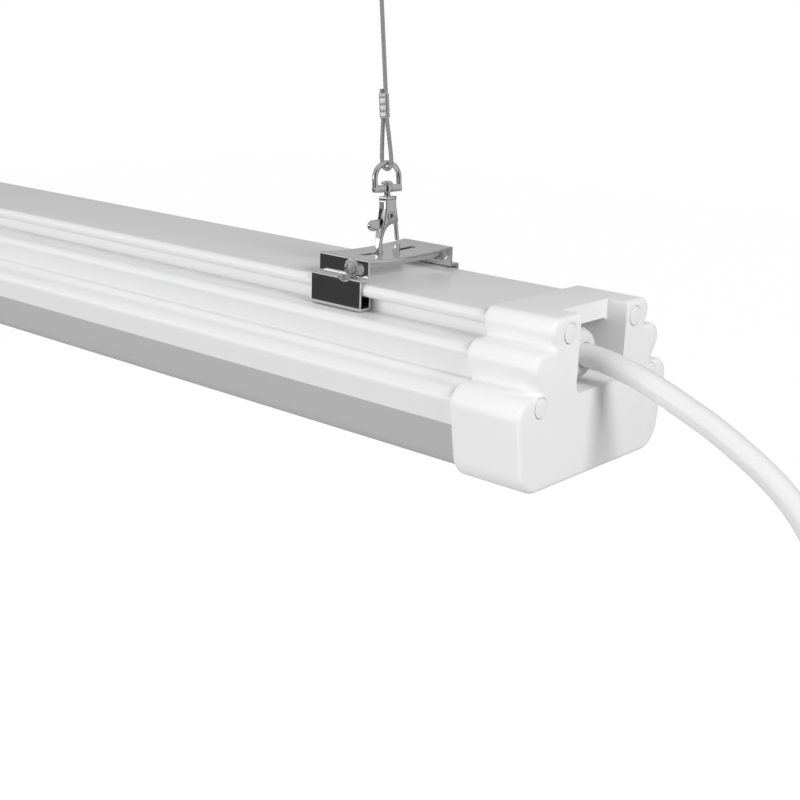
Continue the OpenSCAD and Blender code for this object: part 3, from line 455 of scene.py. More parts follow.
def shown(name: str, data: bpy.types.ID) -> bpy.types.Object:
    """New object in the scene for a mesh, a lamp or a camera."""
    thing = bpy.data.objects.new(name, data)
    bpy.context.scene.collection.objects.link(thing)
    return thing


def carve(base: Shape, add: Sequence[Shape] = (), less: Sequence[Shape] = ()) -> Shape:
    """Shape after exact solid joins, then exact solid cuts.

    Args:
        base: the shape that is worked on.
        add: shapes that are joined to it, in this order.
        less: shapes that are then taken away, in this order.

    Returns:
        The new shape.
    """
    work = shown("work", to_mesh("work", base))
    tools = []
    for operation, others in (("UNION", add), ("DIFFERENCE", less)):
        for other in others:
            tools.append(shown("tool", to_mesh("tool", other)))
            step = work.modifiers.new("cut", "BOOLEAN")
            step.operation, step.object, step.solver = operation, tools[-1], "EXACT"
    mesh = work.evaluated_get(bpy.context.evaluated_depsgraph_get()).to_mesh()
    points = np.zeros(len(mesh.vertices) * 3)
    mesh.vertices.foreach_get("co", points)
    corner = np.zeros(len(mesh.loops), int)
    mesh.loops.foreach_get("vertex_index", corner)
    start = np.zeros(len(mesh.polygons), int)
    mesh.polygons.foreach_get("loop_start", start)
    gons = [part.tolist() for part in np.split(corner, start[1:])]
    for thing in [work, *tools]:
        data = thing.data
        bpy.data.objects.remove(thing)
        bpy.data.meshes.remove(data)
    return Shape(points.reshape(-1, 3), np.zeros((0, 4), int), gons)


# Finishes


def fill(node: bpy.types.Node, values: dict[str, object]) -> None:
    """Sets sockets of a node by name."""
    for name, value in values.items():
        node.inputs[name].default_value = value


def wire(tree: bpy.types.NodeTree, nodes: dict[str, bpy.types.Node],
         links: Sequence[tuple[str, object, str, object]]) -> None:
    """Joins nodes by rows of node, output, node, input."""
    for start, out, end, into in links:
        tree.links.new(nodes[start].outputs[out], nodes[end].inputs[into])


class GrainGroup:
    """Shader group that varies a colour and a roughness with a fine grain."""

    NAME = "fine_grain"
    INPUTS = (("Vector", "NodeSocketVector"), ("Colour", "NodeSocketColor"), ("Scale", "NodeSocketFloat"),
              ("Tone spread", "NodeSocketFloat"), ("Roughness", "NodeSocketFloat"),
              ("Rough spread", "NodeSocketFloat"))
    OUTPUTS = (("Colour", "NodeSocketColor"), ("Roughness", "NodeSocketFloat"),
               ("Height", "NodeSocketFloat"))
    NODES = {"given": "NodeGroupInput", "put": "NodeGroupOutput", "fine": "ShaderNodeTexNoise",
             "broad": "ShaderNodeTexNoise", "colour": "ShaderNodeHueSaturation"}
    SUMS = {"slow": "DIVIDE", "both": "ADD", "centred": "SUBTRACT", "tone": "MULTIPLY_ADD",
            "rough": "MULTIPLY_ADD"}
    BROADER = 20
    VALUES = (("slow", 1, BROADER), ("centred", 1, 1), ("tone", 2, 1), ("fine", "Detail", 3),
              ("broad", "Detail", 2))
    LINKS = (("given", "Vector", "fine", "Vector"), ("given", "Vector", "broad", "Vector"),
             ("given", "Scale", "fine", "Scale"), ("given", "Scale", "slow", 0),
             ("slow", 0, "broad", "Scale"), ("fine", "Fac", "both", 0), ("broad", "Fac", "both", 1),
             ("both", 0, "centred", 0), ("centred", 0, "tone", 0), ("given", "Tone spread", "tone", 1),
             ("centred", 0, "rough", 0), ("given", "Rough spread", "rough", 1),
             ("given", "Roughness", "rough", 2), ("given", "Colour", "colour", "Color"),
             ("tone", 0, "colour", "Value"), ("colour", "Color", "put", "Colour"),
             ("rough", 0, "put", "Roughness"), ("fine", "Fac", "put", "Height"))

    @classmethod
    def get(cls) -> bpy.types.NodeTree:
        """The group, built at its first use.

        Two noises, at the given scale and at a twentieth of it, are added. Their sum less one
        shifts the colour's value and the roughness by the two spreads, and the fine noise is put
        out as a height.

        Returns:
            The node tree.
        """
        if cls.NAME in bpy.data.node_groups:
            return bpy.data.node_groups[cls.NAME]
        tree = bpy.data.node_groups.new(cls.NAME, "ShaderNodeTree")
        for way, sockets in (("INPUT", cls.INPUTS), ("OUTPUT", cls.OUTPUTS)):
            for name, kind in sockets:
                tree.interface.new_socket(name=name, in_out=way, socket_type=kind)
        nodes = {name: tree.nodes.new(kind) for name, kind in cls.NODES.items()}
        for name, operation in cls.SUMS.items():
            nodes[name] = tree.nodes.new("ShaderNodeMath")
            nodes[name].operation = operation
        for name, socket, value in cls.VALUES:
            nodes[name].inputs[socket].default_value = value
        wire(tree, nodes, cls.LINKS)
        return tree


def grey(tone: float) -> Rgb:
    """Colour with no tint."""
    return (tone, tone, tone)


@dataclass(frozen=True)
class Finish:
    """Procedural surface: colour, gloss and fine grain."""

    name: str
    colour: Rgb
    rough: float
    metal: float = 0.0
    grain: float = 900.0
    tone_spread: float = 0.04
    rough_spread: float = 0.06
    bump: float = 0.02
    stretch: Point = (1.0, 1.0, 1.0)
    coat: float = 0.0
    coat_rough: float = 0.1

    def material(self) -> bpy.types.Material:
        """The Blender material, built at its first use; bump is the grain's height in mm."""
        if self.name in bpy.data.materials:
            return bpy.data.materials[self.name]
        made = bpy.data.materials.new(self.name)
        made.use_nodes = True
        tree = made.node_tree
        nodes = {"shader": tree.nodes["Principled BSDF"], "where": tree.nodes.new("ShaderNodeTexCoord"),
                 "mapped": tree.nodes.new("ShaderNodeMapping"), "grain": tree.nodes.new("ShaderNodeGroup"),
                 "bump": tree.nodes.new("ShaderNodeBump")}
        nodes["grain"].node_tree = GrainGroup.get()
        fill(nodes["mapped"], {"Scale": self.stretch})
        fill(nodes["grain"], {"Colour": (*self.colour, 1), "Scale": self.grain, "Roughness": self.rough,
                              "Tone spread": self.tone_spread, "Rough spread": self.rough_spread})
        fill(nodes["bump"], {"Distance": self.bump * MM, "Strength": 1.0})
        fill(nodes["shader"], {"Metallic": self.metal, "Coat Weight": self.coat,
                               "Coat Roughness": self.coat_rough})
        wire(tree, nodes, (("where", "Object", "mapped", "Vector"), ("mapped", "Vector", "grain", "Vector"),
                           ("grain", "Colour", "shader", "Base Color"),
                           ("grain", "Roughness", "shader", "Roughness"),
                           ("grain", "Height", "bump", "Height"), ("bump", "Normal", "shader", "Normal")))
        return made


HOUSING_WHITE = Finish("housing_white", grey(0.86), 0.3, grain=1500, bump=0.004, coat=0.22,
                       coat_rough=0.03, tone_spread=0.015)
OPAL = Finish("opal_diffuser", grey(0.5), 0.38, grain=600, bump=0.003, tone_spread=0.02)
CAP_WHITE = Finish("cap_white", grey(0.92), 0.42, grain=2600, bump=0.012, tone_spread=0.02)
COVER_WHITE = Finish("cover_white", grey(0.91), 0.36, grain=2600, bump=0.008, tone_spread=0.02)
GLAND_NYLON = Finish("gland_nylon", grey(0.78), 0.34, grain=1800, bump=0.01)
RUBBER = Finish("seal_rubber", grey(0.05), 0.7, grain=1500, bump=0.03)
SHEATH = Finish("cord_sheath", grey(0.84), 0.28, grain=900, bump=0.01, coat=0.3, coat_rough=0.15,
                tone_spread=0.02)
PLUG_WHITE = Finish("plug_white", grey(0.84), 0.36, grain=1500, bump=0.012)
BRASS = Finish("plug_brass", (0.78, 0.62, 0.3), 0.28, metal=1, grain=700, stretch=(1, 1, 0.1), bump=0.004)
STRAP = Finish("strap_black", grey(0.03), 0.75, grain=1200, bump=0.08)
BRACKET_STEEL = Finish("bracket_steel", grey(0.1), 0.2, metal=1, grain=500, stretch=(0.06, 1, 1),
                       bump=0.002, tone_spread=0.05, rough_spread=0.08)
CHROME = Finish("hook_chrome", (0.34, 0.34, 0.345), 0.09, metal=1, grain=500, bump=0.012, tone_spread=0.04,
                rough_spread=0.08)
SCREW_STEEL = Finish("screw_steel", (0.36, 0.36, 0.365), 0.15, metal=1, grain=900, bump=0.01)
SPRING_STEEL = Finish("spring_steel", grey(0.3), 0.3, metal=1, grain=900, bump=0.004)
ROPE_STEEL = Finish("rope_steel", grey(0.6), 0.3, metal=1, grain=2400, bump=0.02, tone_spread=0.1)
FERRULE = Finish("ferrule_metal", (0.72, 0.72, 0.73), 0.32, metal=1, grain=1600, bump=0.02)
ZINC = Finish("zinc_steel", (0.66, 0.66, 0.67), 0.3, metal=1, grain=300, bump=0.02, tone_spread=0.1)
TRAY = Finish("tray_sheet", grey(0.8), 0.35, metal=1, grain=400, stretch=(0.05, 1, 1), bump=0.01)
BOARD_WHITE = Finish("board_white", (0.85, 0.85, 0.83), 0.45, grain=800, bump=0.01)
BOARD_GREEN = Finish("board_green", (0.03, 0.2, 0.07), 0.35, grain=800, bump=0.01)
PHOSPHOR = Finish("led_phosphor", (0.8, 0.6, 0.12), 0.3, grain=1500, bump=0.01)
CASE_SHEET = Finish("case_sheet", (0.55, 0.55, 0.56), 0.4, metal=1, grain=500, bump=0.02)
WINDING = Finish("winding_sleeve", (0.6, 0.42, 0.08), 0.4, grain=900, bump=0.03)
CORE_BROWN = Finish("core_sheath", (0.16, 0.09, 0.05), 0.35, grain=900, bump=0.01)
LEAD_RED = Finish("lead_sheath", (0.45, 0.04, 0.03), 0.35, grain=900, bump=0.01)


def add_piece(name: str, shape: Shape, finish: Finish, slot: str, nodes: Sequence[str],
              side: Side = Side.CABLE_END, body: Body = Body.LIGHT, bevel: float = 0,
              sharp: float = 35) -> bpy.types.Object:
    """Puts a finished piece into the scene, on its body and in place of its nodes.

    Args:
        name: the piece's name.
        shape: its surface, in the light's millimetres.
        finish: its material.
        slot: the record's material slot; not used.
        nodes: the frame's nodes that it stands for.
        side: the end of the light.
        body: the body that it moves with.
        bevel: width of the small round on its edges, in mm.
        sharp: angle in degrees from which an edge is an edge.

    Returns:
        The object.
    """
    mesh = to_mesh(name, shape)
    mesh.transform(row_matrix(side))
    if side is Side.FAR_END:
        mesh.flip_normals()
    mesh.shade_smooth()
    mesh.set_sharp_from_angle(angle=np.radians(sharp))
    mesh.materials.append(finish.material())
    piece = shown(name, mesh)
    if bevel:
        edge = piece.modifiers.new("edges", "BEVEL")
        edge.width, edge.segments = bevel * MM, 2
        edge.limit_method, edge.angle_limit = "ANGLE", np.radians(sharp)
        edge.use_clamp_overlap = False
        edge.harden_normals = True
    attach(piece, body.on(side))
    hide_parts(*nodes)
    log.info("%s: %d faces on %s", name, len(mesh.polygons), body.on(side))
    return piece


# Studio


def posed(right: np.ndarray, up: np.ndarray, back: np.ndarray, place: Sequence[float]) -> Matrix:
    """World matrix from three directions and a place; the thing looks away from its back."""
    matrix = np.eye(4)
    matrix[:3] = np.stack([right, up, back, place], 1)
    return Matrix(matrix.tolist())


def backdrop(name: str, corners: Sequence[Sequence[float]], finish: bpy.types.Material) -> bpy.types.Object:
    """Flat four-cornered surface that belongs to the studio and not to the light."""
    mesh = bpy.data.meshes.new(name)
    mesh.from_pydata(corners, [], [[0, 1, 2, 3]])
    mesh.materials.append(finish)
    made = shown(name, mesh)
    return made


@dataclass(frozen=True)
class Camera:
    """Camera solved from the photograph: place in metres, and angles in degrees."""

    place: Point = (0.317940, -0.351351, -0.059980)
    azimuth: float = 40.3865
    elevation: float = 16.35
    roll: float = 2.1405
    lens: float = 58.989
    sensor: float = 36.0
    clip: Pair = (0.01, 50.0)

    def build(self) -> bpy.types.Object:
        """Makes the scene's camera; its back direction is (sin a cos e, -cos a cos e, sin e)."""
        a, e, r = np.radians([self.azimuth, self.elevation, self.roll])
        back = np.array([np.sin(a) * np.cos(e), -np.cos(a) * np.cos(e), np.sin(e)])
        right = unit(np.cross(-back, [0, 0, 1]))
        up = np.cross(back, right)
        right, up = right * np.cos(r) + up * np.sin(r), up * np.cos(r) - right * np.sin(r)
        data = bpy.data.cameras.new("camera")
        data.lens, data.sensor_width = self.lens, self.sensor
        data.clip_start, data.clip_end = self.clip
        camera = shown("camera", data)
        camera.matrix_world = posed(right, up, back, self.place)
        bpy.context.scene.camera = camera
        return camera


@dataclass(frozen=True)
class Lamp:
    """Soft square lamp, which mirrors don't show."""

    name: str
    place: Point
    aim: Point
    size: float
    power: float

    def build(self) -> None:
        """Makes the lamp, with its face square to the line to what it lights."""
        data = bpy.data.lights.new(self.name, "AREA")
        data.size, data.energy = self.size, self.power
        lamp = shown(self.name, data)
        lamp.visible_glossy = False
        back = unit(np.array(self.place) - np.array(self.aim))
        right = unit(np.cross([0.01, 1, 0], back))
        lamp.matrix_world = posed(right, np.cross(back, right), back, self.place)


@dataclass(frozen=True)
class Card:
    """Flat studio card that only reflections see."""

    name: str
    place: Point
    aim: Point
    size: Pair
    tone: float

    def build(self) -> None:
        """Makes the card as an even grey surface, facing what it is mirrored in."""
        back = unit(np.array(self.aim) - np.array(self.place))
        right = unit(np.cross([0, 0, 1], back))
        up = np.cross(back, right)
        u, v = np.array([[-1, -1], [1, -1], [1, 1], [-1, 1]]).T[:, :, None] / 2
        corners = np.array(self.place) + u * self.size[0] * right + v * self.size[1] * up
        tone = bpy.data.materials.new(self.name)
        tone.use_nodes = True
        fill(tone.node_tree.nodes["Principled BSDF"], {
            "Base Color": (0, 0, 0, 1), "Specular IOR Level": 0, "Emission Color": (1, 1, 1, 1),
            "Emission Strength": self.tone})
        card = backdrop(self.name, corners.tolist(), tone)
        card.visible_camera = card.visible_diffuse = card.visible_shadow = False
        card.visible_transmission = card.visible_volume_scatter = False


@dataclass(frozen=True)
class Studio:
    """White room: world, floor, lamps, and cards for reflections."""

    ambient: float = 0.36
    mirrored: float = 0.48
    floor_z: float = -2.1
    floor_half: float = 14.0
    floor_tone: float = 0.8
    seen_tone: float = 0.2
    seen_glow: float = 0.92
    lamps: tuple[Lamp, ...] = (
        Lamp("key_lamp", (-0.9, -2.4, 0.1), (0, 0, -0.16), 1.6, 38),
        Lamp("top_lamp", (0.5, 0.4, 1.9), (0, 0, -0.16), 1.4, 0.5),
        Lamp("end_lamp", (2.1, -0.3, 1.08), (0, 0, -0.16), 0.9, 36),
    )
    cards: tuple[Card, ...] = (
        Card("front_card", (-1.0, -1.2, -0.55), (0, -0.02, -0.15), (1.7, 1.15), 0.05),
        Card("bright_card", (-0.9, -1.15, -0.05), (0, 0, -0.14), (1.1, 0.32), 1.7),
        Card("left_card", (-2.2, 0.2, 0.0), (0, 0, -0.14), (1.7, 2.4), 0.02),
        Card("right_card", (1.42, -1.2, 0.0), (0, 0, -0.14), (1.6, 2.4), 0.03),
        Card("back_card", (0.75, 1.75, 0.0), (0, 0, -0.14), (0.5, 2.4), 0.03),
    )

    def seen(self, tree: bpy.types.NodeTree, kinds: Sequence[str]) -> bpy.types.NodeSocket:
        """Mask that is 1 for rays of any of the kinds."""
        path = tree.nodes.new("ShaderNodeLightPath")
        value = path.outputs[kinds[0]]
        for name in kinds[1:]:
            larger = tree.nodes.new("ShaderNodeMath")
            larger.operation = "MAXIMUM"
            tree.links.new(value, larger.inputs[0])
            tree.links.new(path.outputs[name], larger.inputs[1])
            value = larger.outputs[0]
        return value

    def light(self, tree: bpy.types.NodeTree, strength: float) -> bpy.types.NodeSocket:
        """Even white light of a given strength."""
        node = tree.nodes.new("ShaderNodeBackground")
        fill(node, {"Color": (1, 1, 1, 1), "Strength": strength})
        return node.outputs[0]

    def world(self) -> None:
        """White world for the eye, a dimmer one for mirrors, and a soft fill for all other rays."""
        world = bpy.data.worlds.new("white_room")
        world.use_nodes = True
        tree = world.node_tree
        tree.nodes.clear()
        end = tree.nodes.new("ShaderNodeOutputWorld")
        light = self.light(tree, self.ambient)
        for strength, kinds in ((self.mirrored, ("Is Glossy Ray",)),
                                (1.0, ("Is Camera Ray", "Is Transmission Ray"))):
            mix = tree.nodes.new("ShaderNodeMixShader")
            tree.links.new(self.seen(tree, kinds), mix.inputs["Fac"])
            tree.links.new(light, mix.inputs[1])
            tree.links.new(self.light(tree, strength), mix.inputs[2])
            light = mix.outputs[0]
        tree.links.new(light, end.inputs["Surface"])
        bpy.context.scene.world = world

    def floor(self) -> None:
        """Pale floor far below the light: white where it is seen, less the object's shadow."""
        h, z = self.floor_half, self.floor_z
        made = bpy.data.materials.new("pale_floor")
        made.use_nodes = True
        tree = made.node_tree
        tree.nodes.clear()
        nodes = {name: tree.nodes.new(kind) for name, kind in (
            ("matte", "ShaderNodeBsdfDiffuse"), ("part", "ShaderNodeBsdfDiffuse"),
            ("glow", "ShaderNodeEmission"), ("both", "ShaderNodeAddShader"), ("mix", "ShaderNodeMixShader"),
            ("end", "ShaderNodeOutputMaterial"))}
        fill(nodes["matte"], {"Color": (*grey(self.floor_tone), 1)})
        fill(nodes["part"], {"Color": (*grey(self.seen_tone), 1)})
        fill(nodes["glow"], {"Strength": self.seen_glow})
        tree.links.new(self.seen(tree, ("Is Camera Ray", "Is Transmission Ray")), nodes["mix"].inputs["Fac"])
        wire(tree, nodes, (("part", 0, "both", 0), ("glow", 0, "both", 1), ("matte", 0, "mix", 1),
                           ("both", 0, "mix", 2), ("mix", 0, "end", "Surface")))
        backdrop("floor", [(-h, -h, z), (h, -h, z), (h, h, z), (-h, h, z)], made)

    def build(self) -> None:
        """Makes the room and its light."""
        bpy.context.scene.view_settings.view_transform = "Standard"
        self.world()
        self.floor()
        for lamp in self.lamps:
            lamp.build()
        for card in self.cards:
            card.build()


# Cord with its coil, strap and plug


@dataclass(frozen=True)
class Cord:
    """Mains cord: route in metres from the gland, then the coil of its spare length."""

    diameter: float = 7.8
    start: Point = (-0.025, 0, 0.0382)
    route: tuple[Point, ...] = (
        (-0.017, 0, 0.0382), (-0.008, 0, 0.0382), (0, 0, 0.0377), (0.008, 0, 0.0363), (0.016, 0, 0.0342),
        (0.024, 0, 0.0314), (0.032, 0, 0.0283), (0.041, 0, 0.0246), (0.051, 0, 0.0195), (0.0604, 0, 0.014),
        (0.069, 0, 0.0074), (0.077, 0, -0.0015), (0.083, 0, -0.012), (0.087, 0, -0.024), (0.089, 0, -0.038),
        (0.0898, -0.0007, -0.052), (0.09, -0.002, -0.066), (0.09, -0.0033, -0.077),
        (0.0887, -0.0039, -0.0875), (0.0852, -0.00415, -0.0965))
    centre: Point = (0.10215, 0, -0.15664)
    outer: float = 0.056
    step: float = 0.0084
    first_angle: float = 125.0
    turns: float = 4 + 55 / 360
    climb_half: float = 0.25
    rings_a_turn: int = 60
    tail: float = 0.02
    gland_face: float = -6.4
    sides: int = 28

    def coil_point(self, t: np.ndarray) -> np.ndarray:
        """Coil after t turns: it winds in over half its turns, then out in the next layer."""
        a = np.radians(self.first_angle + 360 * t)
        radius = self.outer - self.step * np.where(t < self.turns / 2, t, self.turns - t)
        layer = self.step * (ease((t - self.turns / 2 + self.climb_half) / (2 * self.climb_half)) - 0.5)
        return np.array(self.centre) + np.stack([radius * np.cos(a), layer, radius * np.sin(a)], -1)

    def path(self) -> np.ndarray:
        """Centre line of the whole cord, in the light's metres."""
        d = self.diameter * MM
        t = np.linspace(0, self.turns, round(self.turns * self.rings_a_turn) + 1)
        loops = self.coil_point(t)
        a = np.radians(self.first_angle + 90)
        entry = loops[0] - d * np.array([np.cos(a), 0, np.sin(a)])
        lead = through(np.vstack([self.route, entry]), 6)
        down = loops[-1] - np.array([0, 0, 1]) * np.array([[d], [self.tail]])
        return np.vstack([[self.start], lead, loops, down])

    def plug_top(self) -> np.ndarray:
        """Where the cord enters the plug, in the light's millimetres."""
        return self.path()[-1] / MM

    def build(self) -> bpy.types.Object:
        path = self.path()
        shape = tube(path / MM, np.full(len(path), self.diameter / 2), self.sides, np.array([0.0, 1.0, 0.0]))
        piece = add_piece("mains_cord", shape, SHEATH, "cord_white", ["power_cord", "cord_coil"])
        return piece


@dataclass(frozen=True)
class CoilStrap:
    """Hook-and-loop strap round the top of the coil."""

    cord: Cord
    width: float = 12.0
    thick: float = 1.2
    half: float = 8.2
    low: float = 35.52
    high: float = 57.9

    def build(self) -> bpy.types.Object:
        """Makes the strap: a rounded loop of even thickness with a slightly bowed face."""
        x, _, z = np.array(self.cord.centre) / MM
        mid, tall = (self.low + self.high) / 2, (self.high - self.low) / 2
        outline = box_outline(self.half + self.thick, tall + self.thick, 5.0, (0, z + mid), 8)
        w = np.linspace(-1, 1, 9)
        edge = 0.25 * np.abs(w) ** 6
        outer = outline.rings(edge)
        inner = outline.rings(self.thick - edge)[::-1]
        along = x + self.width / 2 * np.concatenate([w, w[::-1]])
        grid = stacked(np.concatenate([outer, inner]), along)[..., list(Axis.X.value)]
        return add_piece("coil_strap", loft(grid, loop=True), STRAP, "strap_black", ["cord_tie"])


@dataclass(frozen=True)
class Plug:
    """Moulded plug with two blades and an earth pin, hanging from the coil."""

    cord: Cord
    length: float = 34.0
    half_x: float = 12.5
    half_y: float = 10.5
    neck_l: float = 12.0
    neck_r: float = 8.0
    end_r: float = 4.9
    edge_at: tuple[float, ...] = (0, 0.15, 0.6, 1.2)
    edge_in: tuple[float, ...] = (1.2, 0.8, 0.25, 0)
    grip_at: float = 8.0
    grip_l: float = 15.0
    grip_depth: float = 0.45
    rib_depth: float = 0.55
    rib_pitch: float = 2.4
    rib_span: Pair = (0.6, 10.5)
    blade: Point = (1.5, 6.4, 17.5)
    apart: float = 12.7
    earth_r: float = 2.4
    earth_l: float = 20.5
    earth_back: float = 11.9

    def body(self, top: np.ndarray) -> Shape:
        """Superellipse section whose half sizes and power change along the plug.

        The power falls from 4 at the pin face to 2 at the neck, three shallow waves make the
        grip, and narrow grooves ring the neck.
        """
        s = np.concatenate([self.edge_at, np.linspace(2, self.length + self.neck_l, 88)])
        edge = np.interp(s, self.edge_at, self.edge_in)
        into = ease((s - self.length * 0.72) / (self.length * 0.28))
        neck = np.interp(s, [self.length, self.length + self.neck_l], [self.neck_r, self.end_r])
        wave = TAU * np.clip((s - self.grip_at) / self.grip_l, 0, 1) * 3
        grip = self.grip_depth * (1 - np.cos(wave)) / 2
        first, last = self.rib_span
        rib = self.rib_depth * (s > self.length + first) * (s < self.length + last) * (
            np.cos(TAU * (s - self.length) / self.rib_pitch) < -0.1)
        hx = (self.half_x - edge - grip) * (1 - into) + neck * into - rib
        hy = (self.half_y - edge) * (1 - into) + neck * into - rib
        power = (2 / (4 - 2 * into))[:, None]
        a = angles(48)
        cx, sy = np.cos(a), np.sin(a)
        grid = np.stack([hx[:, None] * np.sign(cx) * np.abs(cx) ** power,
                         hy[:, None] * np.sign(sy) * np.abs(sy) ** power,
                         np.broadcast_to(s[:, None], (len(s), 48))], -1)
        return loft(grid).placed(offset=top - [0, 0, self.length + self.neck_l])

    def pins(self, top: np.ndarray) -> Shape:
        """Two drilled blades with narrowed tips, and a round earth pin with a domed tip."""
        t, w, l = self.blade
        foot = top - [0, 0, self.length + self.neck_l]
        y = -self.earth_back / 4
        blades = []
        for m in (-1, 1):
            flat = Outline(((w / 2, -l, 1.6), (w / 2, 0.5, 0.1), (-w / 2, 0.5, 0.1), (-w / 2, -l, 1.6)), 4)
            blade = slab(flat, -t / 2, t / 2, 0.3, 0.3, Axis.X, steps=2)
            blade = carve(blade, less=[rod(-2, 2, 1.6, Axis.X, (0, 0, -l + 4.2))])
            blades.append(blade.placed(offset=foot + [m * self.apart / 2, y, 0]))
        dome = np.linspace(0.05, 1, 6) * np.pi / 2
        profile = np.vstack([np.stack([-self.earth_l + self.earth_r * (1 - np.cos(dome)),
                                       self.earth_r * np.sin(dome)], -1), [[0.5, self.earth_r]]])
        earth = lathe(profile, 28, Axis.Z, foot + [0, self.earth_back * 3 / 4 - w / 2, 0])
        return joined([*blades, earth])

    def build(self) -> None:
        """Makes the moulded body and the pins."""
        top = self.cord.plug_top()
        add_piece("plug_housing", self.body(top), PLUG_WHITE, "plug_white", ["plug_body"])
        add_piece("plug_blades", self.pins(top), BRASS, "plug_brass", ["plug_pins"])


# Housing and diffuser


CAP_HALF: tuple[Corner, ...] = (
    (27.9, 54.7, 4.38), (27.9, 49.12, 4.38), (25.5, 45.0, 0.8), (35.8, 45.0, 4.98), (35.8, 38.66, 4.98),
    (31.7, 31.6, 1.0), (43.2, 31.6, 6.0), (43.2, 25.1, 6.0), (39.1, 0.0, 9.0))
CAP_OUTLINE = Outline(both_sides(CAP_HALF), 10)
HOUSING_HALF: tuple[Corner, ...] = (
    (25.7, 52.5, 2.2), (25.7, 48.1, 2.1), (20.2, 48.1, 0.6), (20.2, 42.8, 0.6), (33.6, 42.8, 2.8),
    (33.6, 39.25, 2.8), (30.4, 31.5, 0.8), (32.6, 31.5, 1.5), (34.4, 29.4, 2.0), (41.0, 29.4, 3.8),
    (41.0, 25.1, 3.8), (37.3, 2.2, 6.8))
HOUSING_OUTLINE = Outline(both_sides(HOUSING_HALF), 10)
SPLIT_Z = 17.8
SCREWS: tuple[Point, ...] = tuple((0.0, m * y, z) for m in (1, -1) for y, z in ((19.0, 49.3), (32.2, 27.9)))
OVERRUN = 1.0
CUT_HALF = 60.0


@dataclass(frozen=True)
class Housing:
    """Ribbed upper extrusion and the opal diffuser below it."""

    seat: float = 20.5
    ledge_half: float = 35.5
    hollow: tuple[Pair, ...] = ((35.5, 18.8), (37.2, 18.8), (37.2, 25.0), (29.5, 25.0),
                                               (29.5, 41.0), (15.0, 41.0), (15.0, 50.7))
    hollow_round: float = 0.15
    below_half: float = 20.0
    above_half: float = 30.0
    cut_round: float = 0.5
    wall: float = 1.8
    foot_wall: float = 1.95
    port_r: float = 1.4
    port_l: float = 19.0

    def span(self, extra: float = 0) -> Pair:
        """Both ends of the extrusions, with something extra at each."""
        return -LIGHT_L + self.seat - extra, -self.seat + extra

    def upper(self) -> Shape:
        """Outline above the split, less a stepped hollow that is open below, and screw ports."""
        low, high = self.span(OVERRUN)
        half = [(y, z, self.hollow_round) for y, z in self.hollow]
        open_half = [*reversed(half), (self.ledge_half, SPLIT_Z - 2 * OVERRUN, self.hollow_round)]
        hollow = slab(Outline(both_sides(open_half), 2), low, high)
        half_cut = (0, SPLIT_Z - self.below_half)
        below = slab(box_outline(CUT_HALF, self.below_half, self.cut_round, half_cut), low, high)
        ports = joined([rod(at, at + self.port_l + OVERRUN, self.port_r, Axis.X, screw, sides=20)
                        for at in (low, high - self.port_l - OVERRUN) for screw in SCREWS])
        return carve(slab(HOUSING_OUTLINE, *self.span()), less=[below, hollow, ports])

    def lower(self) -> Shape:
        """Outline below the split, set in by the wall to make it hollow."""
        half_cut = (0, SPLIT_Z + self.above_half)
        above = box_outline(CUT_HALF, self.above_half, self.cut_round, half_cut)
        shell = carve(slab(HOUSING_OUTLINE, *self.span()), less=[slab(above, *self.span(2 * OVERRUN))])
        (side, side_z, side_r), (foot, foot_z, foot_r) = HOUSING_HALF[-2:]
        inner = Outline(both_sides(((side - self.wall, side_z, side_r - self.wall),
                                    (foot - self.foot_wall, foot_z + self.wall, foot_r - self.wall))), 10)
        return carve(shell, less=[slab(inner, *self.span(OVERRUN))])

    def build(self) -> None:
        """Makes both extrusions."""
        add_piece("housing_shell", self.upper(), HOUSING_WHITE, "white_housing", ["housing"],
                  sharp=28)
        add_piece("diffuser_shell", self.lower(), OPAL, "opal", ["diffuser"], sharp=28)


